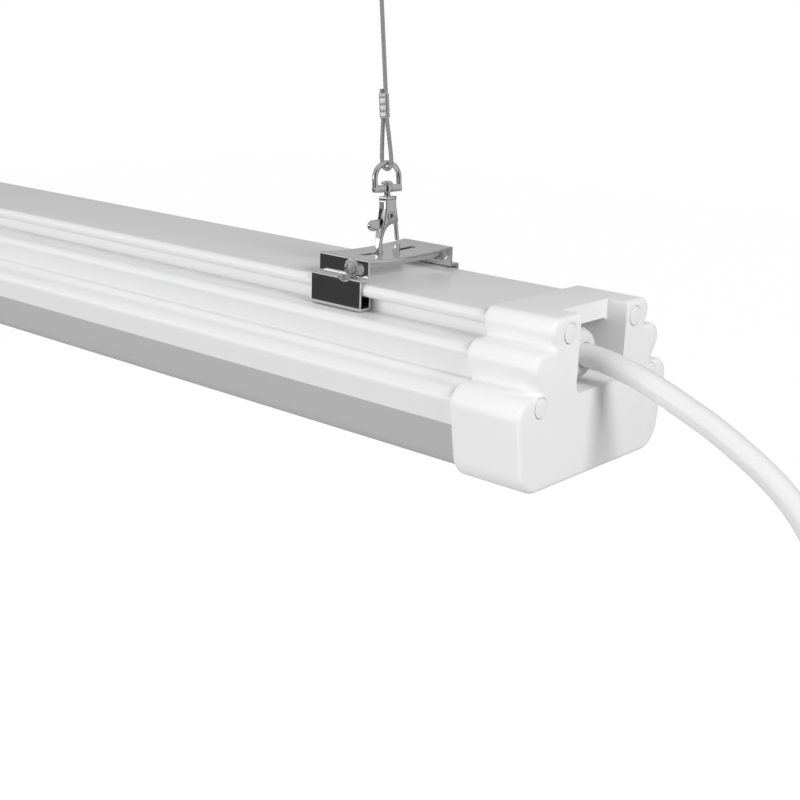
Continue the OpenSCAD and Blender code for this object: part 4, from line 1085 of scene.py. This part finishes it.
@dataclass(frozen=True)
class EndCap:
    """Moulded end cap; the one at the cable end has the recess for the gland."""

    side: Side
    length: float = 27.0
    front: float = 2.6
    seat: float = 7.7
    face_round: float = 1.7
    rim_round: float = 1.0
    boss_r: float = 4.4
    screw_r: float = 1.5
    sink: float = 4.4
    sink_r: float = 3.42
    recess_half: float = 13.4
    recess_floor: float = 28.9
    recess_d: float = 17.0
    recess_wall: float = 2.4
    recess_round: float = 2.4
    web_in: float = 7.5
    web_low: float = 48.4
    web_round: float = 1.6
    gland_z: float = 38.2
    gland_r: float = 6.0
    seat_gap: float = 0.15
    skin: float = 1.4

    def recess(self, low: float, high: float, wall: float, top: float, upper: float = 0.3) -> Shape:
        """Block with round corners, from one place along the light to another."""
        half, r = self.recess_half + wall, self.recess_round + wall
        foot = self.recess_floor - wall
        corners = ((half, foot, r), (half, top, upper), (-half, top, upper), (-half, foot, r))
        return slab(Outline(corners, 6), low, high)

    def shape(self) -> Shape:
        """Rounded block less the housing's seat, the hollow round its bosses, and the recess."""
        cable = self.side is Side.CABLE_END
        block = slab(CAP_OUTLINE, -self.length, 0, self.rim_round, self.face_round, steps=5)
        back = -self.length - OVERRUN
        seat = slab(HOUSING_OUTLINE, back, -self.length + self.seat, inset=-self.seat_gap)
        hollow = slab(HOUSING_OUTLINE, back + OVERRUN / 2, -self.front, inset=self.skin)
        keep = [joined([rod(-self.length + self.seat, 0, self.boss_r, Axis.X, at) for at in SCREWS])]
        if cable:
            keep.append(self.recess(-self.recess_d - self.recess_wall, OVERRUN, self.recess_wall, CUT_HALF))
        sunk = np.array([[back, self.screw_r], [-self.sink, self.screw_r], [-self.sink, self.sink_r],
                         [OVERRUN, self.sink_r]])
        screws = joined([lathe(sunk, 40, Axis.X, at) for at in SCREWS])
        less = [seat, carve(hollow, less=keep), screws]
        if cable:
            deep, web, top = -self.recess_d, self.web_in, CAP_HALF[0][1]
            less += [self.recess(deep, OVERRUN, 0, self.web_low, self.web_round),
                     self.recess(-web, 1.2 * OVERRUN, 0, CUT_HALF),
                     self.recess(deep + 0.001, -web - self.recess_wall, 0, top - self.recess_wall),
                     rod(back, deep + OVERRUN, self.gland_r, Axis.X, (0, 0, self.gland_z))]
        return carve(block, less=less)

    def build(self) -> None:
        """Makes the cap and its four screw covers."""
        word = self.side.name.lower()
        add_piece(f"end_cap_{word}", self.shape(), CAP_WHITE, "white_cap", [f"cap_{word}"],
                  self.side, sharp=40)
        profile = round_line(((-1.6, 0.05, 0), (-1.6, 3.2, 0.1), (0.3, 3.2, 0.35), (0.28, 0.05, 0)))
        covers = joined([lathe(profile, 40, Axis.X, at) for at in SCREWS])
        add_piece(f"screw_caps_{word}", covers, COVER_WHITE, "white_plastic",
                  [f"screw_covers_{word}"], self.side)


@dataclass(frozen=True)
class Gland:
    """Cable gland: hexagonal body, domed clamping nut and locknut."""

    back: float = -17.0
    z: float = 38.2
    radius: float = 8.6
    thread_r: float = 5.9
    hex_t: float = 3.6
    nose_r: float = 5.6
    bore: float = 4.0
    nut_l: float = 7.0
    inner_l: float = 6.4
    locknut_t: float = 2.9

    corner_r: float = 0.7
    edge: float = 0.35
    shoulder: float = 3.0
    bore_clear: float = 0.1
    thread_depth: float = 0.25
    pitch: float = 1.5
    locknut_at: float = -5.4

    def hexed(self, low: float, high: float) -> Shape:
        """Six-sided block with slightly rounded corners."""
        return slab(hexagon(self.radius, (0, self.z), self.corner_r), self.back + low, self.back + high,
                    self.edge, self.edge, steps=3)

    def nut(self) -> Shape:
        """Ring whose outside is fluted, then falls in a quarter ellipse to the nose."""
        t = np.linspace(0, 1, 9) * np.pi / 2
        dome = np.stack([self.shoulder + (self.nut_l - self.shoulder) * np.sin(t),
                         self.nose_r + (self.radius - self.nose_r) * np.cos(t)], -1)
        outer = np.vstack([[[0, self.radius - 0.4], [0.4, self.radius]], dome])
        thread = self.thread_r + self.bore_clear
        inner = np.array([[self.nut_l, self.bore + 0.3], [self.nut_l - 0.4, self.bore], [2.8, self.bore],
                          [2.8, thread], [0, thread]])
        flute = 0.035 * (0.5 + 0.5 * np.cos(18 * angles(96))) ** 3
        reach = np.concatenate([[0.6, 1], np.linspace(1, 0, 9) ** 0.5, np.zeros(5)])
        start = [self.back + self.hex_t + self.bore_clear, 0]
        return lathe(np.vstack([outer, inner]) + start, 96, Axis.X, (0, 0, self.z), True,
                     1 - reach[:, None] * flute[None])

    def build(self) -> None:
        """Makes the body, the domed nut and the locknut; the seal keeps its frame shape."""
        at = (0, 0, self.z)
        thread_s = np.arange(0, self.inner_l, 0.25)
        screw = self.thread_r - self.thread_depth * (1 - np.cos(TAU * thread_s / self.pitch)) / 2
        outer = np.stack([self.back - self.inner_l + thread_s, screw], -1)
        front = self.back + self.hex_t + 2.7
        ring = np.vstack([outer, [[front, self.thread_r], [front, self.bore], [outer[0, 0], self.bore]]])
        bore = rod(self.back - 3, self.back + 9, self.bore + 0.5, Axis.X, at)
        body = carve(self.hexed(0, self.hex_t), less=[bore])
        body = carve(body, add=[lathe(ring, 48, Axis.X, at, True)])
        threaded = rod(self.back - 9, self.back, self.thread_r + self.bore_clear, Axis.X, at)
        lock = carve(self.hexed(self.locknut_at, self.locknut_at + self.locknut_t), less=[threaded])
        add_piece("gland_base", body, GLAND_NYLON, "gland_plastic", ["gland_body"])
        add_piece("gland_dome", self.nut(), GLAND_NYLON, "gland_plastic", ["gland_nut"], sharp=50)
        add_piece("gland_lock", lock, GLAND_NYLON, "gland_plastic", ["gland_locknut"])


# Clamp brackets


@dataclass(frozen=True)
class Bracket:
    """Stamped clamp bracket with its bolt, nut and washers."""

    side: Side
    x: float = -92.2
    length: float = 23.0
    half: float = 23.0
    plate_z: float = 60.6
    sheet: float = 1.0
    shelf_z: float = 54.2
    jaw_half: float = 27.0
    jaw_low: float = 43.1
    lip_half: float = 21.0
    lip_top: float = 47.9
    lip_round: float = 0.2
    bend: float = 0.55
    inner_bend: float = 0.2
    bow: float = 1.0
    slot_half: Pair = (1.35, 5.75)
    slot_round: float = 0.7
    slot_y: float = 8.65
    slot_cut: Pair = (-4.0, 3.0)
    bolt_off: float = 4.0
    bolt_z: float = 57.0
    bolt_r: float = 1.5
    bolt_slot_half: Pair = (3.7, 1.9)
    bolt_slot_cut: float = 2.2
    head_clear: float = 4.2
    notch_at: float = 0.02
    notch_l: float = 9.0
    cross_half: Pair = (1.5, 0.32)
    pitch: float = 0.5
    thread_depth: float = 0.12
    thread_from: float = 8.0
    bolt_past: float = 3.4
    washer_t: float = 0.6
    washer_r: float = 3.2
    nut_r: float = 3.1
    nut_t: float = 2.2

    def bolt_at(self) -> Point:
        """A point of the bolt's axis."""
        return self.x + self.bolt_off, 0, self.bolt_z

    def strip(self) -> Shape:
        """Bent strip drawn out along the light; the plate sinks by the bow in its middle."""
        t, o, i = self.sheet, self.bend, self.inner_bend
        outer = ((self.half, self.plate_z, o), (self.half, self.shelf_z, i),
                 (self.jaw_half, self.shelf_z, o), (self.jaw_half, self.jaw_low, o),
                 (self.lip_half, self.jaw_low, o),
                 (self.lip_half, self.lip_top, self.lip_round))
        inner = ((self.half - t, self.plate_z - t, i), (self.half - t, self.shelf_z - t, o),
                 (self.jaw_half - t, self.shelf_z - t, i), (self.jaw_half - t, self.jaw_low + t, i),
                 (self.lip_half + t, self.jaw_low + t, i), (self.lip_half + t, self.lip_top, self.lip_round))
        left = [(-y, z, r) for y, z, r in outer]
        corners = (*reversed(outer), *left, *[(-y, z, r) for y, z, r in reversed(inner)], *inner)
        ring = Outline(corners, 5).parted(1.0)
        y, z = ring.T
        sag = self.bow * np.clip(1 - (y / (self.half - 1)) ** 2, 0, 1) * (z > self.plate_z - 2 * t)
        ring = np.stack([y, z - sag], -1)
        x = self.x + np.linspace(-1, 1, 7) * self.length / 2
        grid = stacked(np.broadcast_to(ring, (len(x), *ring.shape)), x)
        return loft(grid[..., list(Axis.X.value)])

    def shape(self) -> Shape:
        """Strip less two slots in the plate, the bolt's slots and the notches for its head."""
        low, high = (self.plate_z + cut for cut in self.slot_cut)
        slots = joined([slab(box_outline(*self.slot_half, self.slot_round, (self.x, m * self.slot_y)),
                             low, high, axis=Axis.Z) for m in (-1, 1)])
        x, _, z = self.bolt_at()
        wide, tall = self.bolt_slot_half
        hole = box_outline(wide, tall, tall - 0.01, (x + tall, z), 8)
        holes = joined([slab(hole, m * self.half - self.bolt_slot_cut, m * self.half + self.bolt_slot_cut,
                             axis=Axis.Y) for m in (-1, 1)])
        near = self.half + self.notch_at
        far = near + self.notch_l
        notch = joined([rod(low, high, self.head_clear, Axis.Y, (x, 0, z), sides=40)
                        for low, high in ((-far, -near), (near, far))])
        return carve(self.strip(), less=[slots, holes, notch])

    def bolt(self) -> Shape:
        """Pan head with a cross recess on a shank with a fine thread near its end."""
        seat = self.half + self.washer_t
        s = np.arange(-seat, seat + self.bolt_past, self.pitch / 4)
        ridge = self.thread_depth * (1 - np.cos(TAU * s / self.pitch)) / 2 * (s > self.thread_from)
        head = round_line(((-seat - 1.8, 0.05, 0), (-seat - 1.7, 1.7, 0.7), (-seat - 0.5, 2.4, 0.7),
                           (-seat, 2.4, 0.2), (-seat, self.bolt_r, 0)), 5)
        profile = np.vstack([head, np.stack([s[1:], self.bolt_r - ridge[1:]], -1)])
        x, _, z = self.bolt_at()
        arms = [slab(box_outline(u, v, 0.1, (x, z)), -seat - 3, -seat - 0.9, axis=Axis.Y)
                for u, v in (self.cross_half, self.cross_half[::-1])]
        return carve(lathe(profile, 32, Axis.Y, self.bolt_at()), less=arms)

    def nut(self) -> Shape:
        """Six-sided nut with a bore."""
        x, _, z = self.bolt_at()
        low = self.half + self.washer_t
        block = slab(hexagon(self.nut_r, (x, z), 0.3), low, low + self.nut_t, 0.1, 0.3, Axis.Y, steps=2)
        return carve(block, less=[rod(low - 1, low + 4, self.bolt_r + 0.05, Axis.Y, self.bolt_at())])

    def washers(self) -> Shape:
        """Two flat rings with rounded rims."""
        t, r, bore = self.washer_t, self.washer_r, self.bolt_r + 0.06
        section = Outline(((t, bore, 0.1), (t, r, 0.2), (0, r, 0.2), (0, bore, 0.1)), 3)
        profile = section.rings(np.zeros(1))[0]
        return joined([lathe(profile + [w, 0], 40, Axis.Y, self.bolt_at(), True)
                       for w in (-self.half - t, self.half)])

    def build(self) -> None:
        """Makes the bracket and its fasteners."""
        k = self.side.value
        add_piece(f"clamp_bracket_{k}", self.shape(), BRACKET_STEEL, "bracket_steel",
                  [f"bracket_{k}"], self.side, bevel=0.14, sharp=40)
        add_piece(f"cross_bolt_{k}", self.bolt(), SCREW_STEEL, "screw_steel",
                  [f"clamp_bolt_{k}"], self.side)
        add_piece(f"hex_nut_{k}", self.nut(), SCREW_STEEL, "screw_steel", [f"clamp_nut_{k}"],
                  self.side)
        add_piece(f"flat_washers_{k}", self.washers(), SCREW_STEEL, "screw_steel",
                  [f"clamp_washers_{k}"], self.side)


# Snap hooks


@dataclass(frozen=True)
class Leaning:
    """Local frame that leans back about Y: origin in the light's sizes and angle in degrees."""

    x: float
    z: float
    lean: float

    def place(self, shape: Shape) -> Shape:
        """A shape of this frame in the light's sizes."""
        a = np.radians(self.lean)
        turn = np.array([[np.cos(a), 0, -np.sin(a)], [0, 1, 0], [np.sin(a), 0, np.cos(a)]])
        return shape.placed(turn, (self.x, 0, self.z))

    def up(self, distance: float) -> Pair:
        """Place of a point that far up this frame."""
        a = np.radians(self.lean)
        return self.x - distance * np.sin(a), self.z + distance * np.cos(a)


HOOK_FRAME = Leaning(-92.2, 61.4, 3.6)
EYE_TOP = 29.65
ROPE_FRAME = Leaning(*HOOK_FRAME.up(EYE_TOP), 5.8)


@dataclass(frozen=True)
class SnapHook:
    """Cast snap hook, its sprung gate, and the swivel eye on its post."""

    side: Side
    leg_t: float = 1.8
    body_t: float = 3.95
    cap_t: float = 4.1
    inner: float = 3.8
    outer: float = 6.0
    taper: Pair = (0.0, 7.0)
    slot: Pair = (-1.4, 0.7)
    rivet: Pair = (-0.2, 11.05)
    rivet_hole_r: float = 1.26
    post_low: float = 16.4
    post_hole_r: float = 1.16
    eye_r: float = 5.3
    eye_wire_r: float = 0.95
    bar_low: float = 19.4
    bar_high: float = 22.0
    barrel_r: float = 2.0
    spring_r: float = 1.55
    spring_wire_r: float = 0.14
    spring_pitch: float = 0.33
    spring_leg: float = 2.6
    eye_turn: float = 12.0

    def casting(self) -> Shape:
        """Round, long leg and upper part in one, thinner from the taper's top to its foot."""
        a = np.radians(np.linspace(180, 360, 19))
        outer = [(self.outer * np.cos(k), self.outer * np.sin(k), 0.8) for k in a]
        inner = [(self.inner * np.cos(k), self.inner * np.sin(k), 0.4) for k in a[::-1]]
        tip = [(self.outer, 1.35, 0.8), (self.inner, 0.55, 0.8)]
        leg = [(-3.9, 2.2, 3), (-3.8, 3.7, 3), (-3.2, 5.6, 3), (-1.9, 7.3, 3), (0.1, 8.05, 3),
               (3.95, 8.55, 0.75), (3.85, 9.8, 3), (3.1, 13.7, 3), (2.85, 17.0, 0.75), (-2.4, 17.0, 0.75),
               (-2.6, 13.9, 3), (-3.4, 10.1, 3), (-4.6, 6.2, 4), (-5.4, 3.4, 4)]
        outline = Outline((*outer, *tip, *inner, *leg), 3)
        whole = slab(outline, -self.body_t / 2, self.body_t / 2, 0.7, 0.7, steps=5)
        heights = np.linspace(*self.taper, 6)
        shares = np.interp(heights, self.taper, (self.leg_t / self.body_t, 1))
        return whole.sliced(heights).thinned(heights, shares)

    def body(self) -> Shape:
        """The casting with its cap, less the gate's slot, the rivet hole and the post's bore."""
        cap = Outline(((2.9, 16.5, 0.4), (2.9, 18.0, 0.4), (-2.45, 18.0, 0.4), (-2.45, 16.5, 0.4)), 3)
        slot = Outline(((7, 3.0, 0.2), (7, 16.1, 0.2), (-7, 16.1, 0.2), (-7, 5.9, 0.2), (-2.4, 5.9, 0.2),
                        (-2.4, 3.0, 0.2)), 2)
        return carve(self.casting(), add=[slab(cap, -self.cap_t / 2, self.cap_t / 2, 0.35, 0.35, steps=3)],
                     less=[slab(slot, *self.slot), self.rivet_hole(),
                           rod(self.post_low, 20, self.post_hole_r, Axis.Z)])

    def rivet_hole(self) -> Shape:
        """Bar that cuts the rivet's hole through the casting and the gate."""
        return rod(-5, 5, self.rivet_hole_r, Axis.X, (0, *self.rivet))

    def gate(self) -> Shape:
        """Flat gate in the slot, a round arm down to the hook's tip, and a thick thumb tab."""
        flat = Outline(((4.5, 6.0, 0.4), (5.3, 6.0, 0.4), (4.9, 9.2, 1.6), (2.6, 12.6, 1.6),
                        (0.8, 13.6, 0.8), (-1.9, 13.6, 0.5), (-2.7, 11.8, 1.5), (-3.2, 10.3, 0.6),
                        (-7.0, 10.0, 0.5), (-7.0, 6.5, 0.5), (-4.4, 6.5, 0.8), (-1.5, 8.2, 1.5),
                        (0.5, 8.6, 1.5), (2.8, 8.2, 1.0), (4.0, 6.9, 0.6)), 4)
        t = np.linspace(0, 1, 12)[:, None]
        line = np.array([-0.02, 4.3, 9.0]) * (1 - t) + np.array([-0.02, 4.92, 2.5]) * t
        path, radius = round_ends(line, 0.8)
        arm = tube(path, radius * np.interp(path[:, 2], [2, 9], [1.0, 0.95]), 16, np.array([1.0, 0, 0]))
        tab = Outline(((-4.95, 6.3, 0.5), (-4.95, 10.1, 0.5), (-8.3, 10.15, 1.6), (-10.1, 9.2, 1.4),
                       (-10.1, 7.2, 1.4), (-8.3, 6.25, 1.6)), 5)
        return carve(slab(flat, -0.6, 0.4, 0.2, 0.2, steps=2),
                     add=[arm, slab(tab, -0.85, 0.85, 0.45, 0.45, steps=4)], less=[self.rivet_hole()])

    def pin(self) -> Shape:
        """Eyelet with a rolled rim at each end and an open bore."""
        end = self.cap_t / 2 + 0.4
        rim = round_line(((0, 0.75, 0), (end - 0.35, 0.75, 0.3), (end, 1.2, 0.25), (end, 1.9, 0.28),
                          (end - 0.42, 1.9, 0.1), (end - 0.42, 1.2, 0.05), (0, 1.2, 0)), 3)
        both = np.vstack([rim, (rim * [-1, 1])[::-1][1:-1]])
        return lathe(both, 32, Axis.X, (0, *self.rivet), closed=True)

    def spring(self) -> Shape:
        """Torsion spring: one leg up the body, a full turn, and a leg on the gate."""
        a = np.radians(np.linspace(180, 540, 40))
        r, aside, leg = self.spring_r, self.spring_pitch / 2, self.spring_leg
        coil = np.stack([self.spring_pitch * (a / TAU - 1), r * np.cos(a), r * np.sin(a)], -1)
        path = np.vstack([[[-aside, -r, leg], [-aside, -r, leg / 2]], coil,
                          [[aside, -r, -leg / 2], [aside, -r, -leg]]])
        return tube(path + [-1.0, *self.rivet], np.array([self.spring_wire_r]), 10, np.array([1.0, 0, 0]))

    def post(self) -> Shape:
        """Post with a domed head above the eye's bar."""
        low = self.post_low
        line = round_line(((low, 0.05, 0), (low, 1.1, 0.15), (22.2, 1.1, 0.1), (22.2, 2.1, 0.25),
                           (22.9, 2.05, 0.6), (23.4, 0.9, 0.6), (23.4, 0.05, 0)), 4)
        return lathe(line, 32, Axis.Z)

    def eye(self) -> Shape:
        """D of round bar on a flat lower bar with a barrel round the post."""
        a, r = np.linspace(0, np.pi, 25), self.eye_r
        top = EYE_TOP - r
        bow = np.stack([0 * a, r * np.cos(a), top + r * np.sin(a)], -1)
        legs = np.linspace(20.7, top, 6)[:-1]
        side = np.stack([0 * legs, 0 * legs + r, legs], -1)
        path = np.vstack([side, bow, (side * [1, -1, 1])[::-1]])
        ring = tube(path, np.full(len(path), self.eye_wire_r), 20, np.array([1.0, 0, 0]))
        low, high = self.bar_low, self.bar_high
        bar = slab(Outline(((6.1, low, 0.6), (6.2, 21.0, 0.9), (5.4, high, 0.4), (-5.4, high, 0.4),
                            (-6.2, 21.0, 0.9), (-6.1, low, 0.6)), 4), -0.9, 0.9, 0.35, 0.35, steps=3)
        barrel = rod(low, high, self.barrel_r, Axis.Z, edge=0.3)
        made = carve(ring, add=[bar, barrel], less=[rod(18, 24, self.post_hole_r, Axis.Z)])
        b = -np.radians(self.eye_turn)
        turn = np.array([[np.cos(b), -np.sin(b), 0], [np.sin(b), np.cos(b), 0], [0, 0, 1]])
        return made.placed(turn)

    def build(self) -> None:
        """Makes the six pieces of the hook."""
        k = self.side.value
        for name, shape, finish, body, slot, node, sharp in (
                ("snap_body", self.body(), CHROME, Body.SUSPENSION, "hook_chrome", "hook_body", 40),
                ("snap_gate", self.gate(), CHROME, Body.GATE, "hook_chrome", "hook_gate", 40),
                ("eyelet_pin", self.pin(), SCREW_STEEL, Body.SUSPENSION, "screw_steel", "gate_rivet", 40),
                ("torsion_spring", self.spring(), SPRING_STEEL, Body.SUSPENSION, "spring_steel",
                 "gate_spring", 60),
                ("headed_post", self.post(), CHROME, Body.SUSPENSION, "hook_chrome", "swivel_post", 50),
                ("d_eye", self.eye(), CHROME, Body.EYE, "hook_chrome", "swivel_eye", 40)):
            add_piece(f"{name}_{k}", HOOK_FRAME.place(shape), finish, slot, [f"{node}_{k}"], self.side, body,
                      sharp=sharp)


@dataclass(frozen=True)
class WireRope:
    """Wire rope with a loop at each end, each held by a crimped sleeve."""

    side: Side
    length: float = 87.4
    bore_at: float = 0.9
    low_loop: float = 2.15
    high_loop: float = 3.05
    sleeve_at: float = 15.5
    sleeve_l: float = 8.5
    stub: float = 1.5
    strands: int = 6
    lay: float = 9.0
    ring_step: float = 0.4
    valley_r: float = 0.60
    strand_rise: float = 0.18

    def path(self) -> np.ndarray:
        """Centre line: stub, lower loop, long run, upper loop, stub."""
        b, lo, hi, up, n = self.bore_at, self.low_loop, self.high_loop, self.sleeve_at, self.length
        top = up + self.sleeve_l
        a = np.radians(np.linspace(180, 360, 9))
        low = np.stack([lo * np.cos(a), 0 * a, lo * np.sin(a)], -1)
        c = np.radians(np.linspace(0, 180, 9))
        high = np.stack([0 * c, hi * np.cos(c), n + hi * np.sin(c)], -1)
        turn = n - top
        run = np.array([[b, 0, top + 1.5], [b * 0.9, b * 0.1, top + 8], [b * 0.5, b * 0.5, (top + turn) / 2],
                        [b * 0.1, b * 0.9, turn - 8], [0, b, turn - 1.5]])
        points = np.vstack([
            [[-b, 0, top + self.stub], [-b, 0, top - 2], [-b, 0, up], [-(b + lo) / 2, 0, up * 0.6],
             [-lo, 0, lo]],
            low[1:-1], [[lo, 0, lo], [(b + lo) / 2, 0, up * 0.6], [b, 0, up], [b, 0, top - 2]], run,
            [[0, b, turn + 2], [0, b, n - up], [0, (b + hi) / 2, n - up * 0.6], [0, hi, n - hi]],
            high[1:-1], [[0, -hi, n - hi], [0, -(b + hi) / 2, n - up * 0.6], [0, -b, n - up],
                         [0, -b, turn + 2], [0, -b, turn - self.stub]]])
        curve = through(points, 12)
        length = run_along(curve)[-1]
        return resampled(curve, np.linspace(0, length, round(length / self.ring_step)))

    def rope(self) -> Shape:
        """Section of six round strands that turns once in each lay along the path."""
        path = self.path()
        s = np.arange(len(path)) * self.ring_step
        lobe = self.valley_r + self.strand_rise * np.abs(np.cos(self.strands / 2 * angles(24))) ** 0.8
        share = ease((s - 45) / 60)[:, None]
        aside = np.array([0.0, 1, 0]) * (1 - share) + np.array([1.0, 0, 0]) * share
        return tube(path, np.broadcast_to(lobe, (len(path), 24)), 24, aside, twist=TAU * s / self.lay)

    def sleeve(self) -> Shape:
        """Two-lobed sleeve with rounded ends and three shallow crimps."""
        w = self.bore_at + 1.2
        outline = Outline(((w, -1.2, 1.15), (w, 1.2, 1.15), (0, 1.0, 1.5), (-w, 1.2, 1.15), (-w, -1.2, 1.15),
                           (0, -1.0, 1.5)), 6)
        s = np.linspace(0, self.sleeve_l, 44)
        end = 0.25 * (np.clip(1 - s / 0.5, 0, 1) ** 2 + np.clip(1 - (self.sleeve_l - s) / 0.5, 0, 1) ** 2)
        crimps = self.sleeve_l * np.array([0.22, 0.5, 0.78])
        crimp = 0.08 * np.exp(-((s[:, None] - crimps) / 0.55) ** 2).sum(1)
        return loft(stacked(outline.rings(end + crimp), s))

    def build(self) -> None:
        """Makes the rope and its two sleeves."""
        k = self.side.value
        turn = np.array([[0, -1, 0], [1, 0, 0], [0, 0, 1]])
        pair = joined([self.sleeve().placed(offset=(0, 0, self.sleeve_at)),
                       self.sleeve().placed(turn, (0, 0, self.length - self.sleeve_at - self.sleeve_l))])
        add_piece(f"stranded_rope_{k}", ROPE_FRAME.place(self.rope()), ROPE_STEEL, "rope_steel",
                  [f"wire_rope_{k}"], self.side, Body.SUSPENSION, sharp=60)
        add_piece(f"crimped_sleeves_{k}", ROPE_FRAME.place(pair), FERRULE, "ferrule_metal",
                  [f"ferrules_{k}"], self.side, Body.SUSPENSION, sharp=50)


@dataclass(frozen=True)
class CeilingHook:
    """Open screw hook: threaded shank, collar, neck and ring."""

    side: Side
    x: float = -102.894
    z: float = 201.144
    bar: float = 2.0
    shank: float = 22.0
    tip: float = 5.0
    pitch: float = 1.6
    collar_r: float = 5.0
    collar_t: float = 1.2
    neck: float = 6.0
    ring: float = 8.0
    ring_turn: float = 300.0

    def screw(self) -> Shape:
        """Shank whose radius falls from the crest in a helical groove: the groove's phase is
        the height over the pitch less the angle over a full turn."""
        s = np.arange(0, self.shank, 0.16)
        a = angles(32)
        radius = np.interp(s, [0, self.shank - self.tip, self.shank], [self.bar, self.bar, 0.3])
        phase = (s[:, None] / self.pitch - a[None] / TAU) % 1
        groove = 0.5 * np.clip(1 - np.abs(phase - 0.5) * 3.2, 0, 1) * np.clip(s[:, None] / 2, 0, 1)
        ripple = 1 - groove * np.minimum(0.5, 1 / np.maximum(radius, 0.5))[:, None]
        return lathe(np.stack([s, radius], -1), 32, Axis.Z, ripple=ripple)

    def shape(self) -> Shape:
        """Screw, rounded collar, neck and ring in one."""
        t, low = self.collar_t, -self.collar_t - self.neck
        collar = rod(-t, 0.05, self.collar_r, Axis.Z, edge=0.45)
        b = np.radians(np.linspace(0, self.ring_turn, 72))
        ring = np.stack([-self.ring * np.sin(b), 0 * b, low - self.ring + self.ring * np.cos(b)], -1)
        neck = np.stack([[0.0, 0, -t / 2], [0, 0, -t - 2], [0, 0, low + 1.2]])
        path, radius = round_ends(np.vstack([neck, ring[3:]]), self.bar)
        wire = tube(path, radius, 24, np.array([0.0, 1, 0]))
        return carve(self.screw(), add=[collar, wire]).placed(offset=(self.x, 0, self.z))

    def build(self) -> None:
        """Makes the hook."""
        k = self.side.value
        add_piece(f"screw_hook_{k}", self.shape(), ZINC, "zinc_steel", [f"ceiling_hook_{k}"], self.side,
                  Body.CEILING, sharp=40)


@dataclass(frozen=True)
class InnerParts:
    """Parts inside the housing, which keep their frame shapes."""

    finishes: tuple[tuple[Finish, tuple[str, ...]], ...] = (
        (TRAY, ("led_tray",)), (BOARD_WHITE, ("led_board_front", "led_board_back")), (PHOSPHOR, ("leds",)),
        (CASE_SHEET, ("driver_case", "driver_cover")), (BOARD_GREEN, ("driver_board",)),
        (WINDING, ("driver_parts",)), (COVER_WHITE, ("terminal_block",)), (CORE_BROWN, ("mains_wires",)),
        (LEAD_RED, ("driver_wires", "led_wires")),
        (RUBBER, ("gasket_cable_end", "gasket_far_end", "gland_seal")),
        (SCREW_STEEL, ("driver_screws", "cap_screws_cable_end", "cap_screws_far_end")))

    def build(self) -> None:
        """Gives each node its finish."""
        for finish, names in self.finishes:
            for name in names:
                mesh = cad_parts[name].data
                mesh.materials.clear()
                mesh.materials.append(finish.material())
                log.info("%s: %s", name, finish.name)


def main() -> None:
    """Builds the scene in order: camera, cord, light, brackets, hooks, ropes and studio."""
    logging.basicConfig(level=logging.INFO, format="%(message)s")
    Camera().build()
    cord = Cord()
    Plug(cord).build()
    CoilStrap(cord).build()
    cord.build()
    Housing().build()
    Gland().build()
    InnerParts().build()
    for side in Side:
        EndCap(side).build()
        Bracket(side).build()
        SnapHook(side).build()
        WireRope(side).build()
        CeilingHook(side).build()
    Studio().build()


if __name__ == "__main__":
    main()
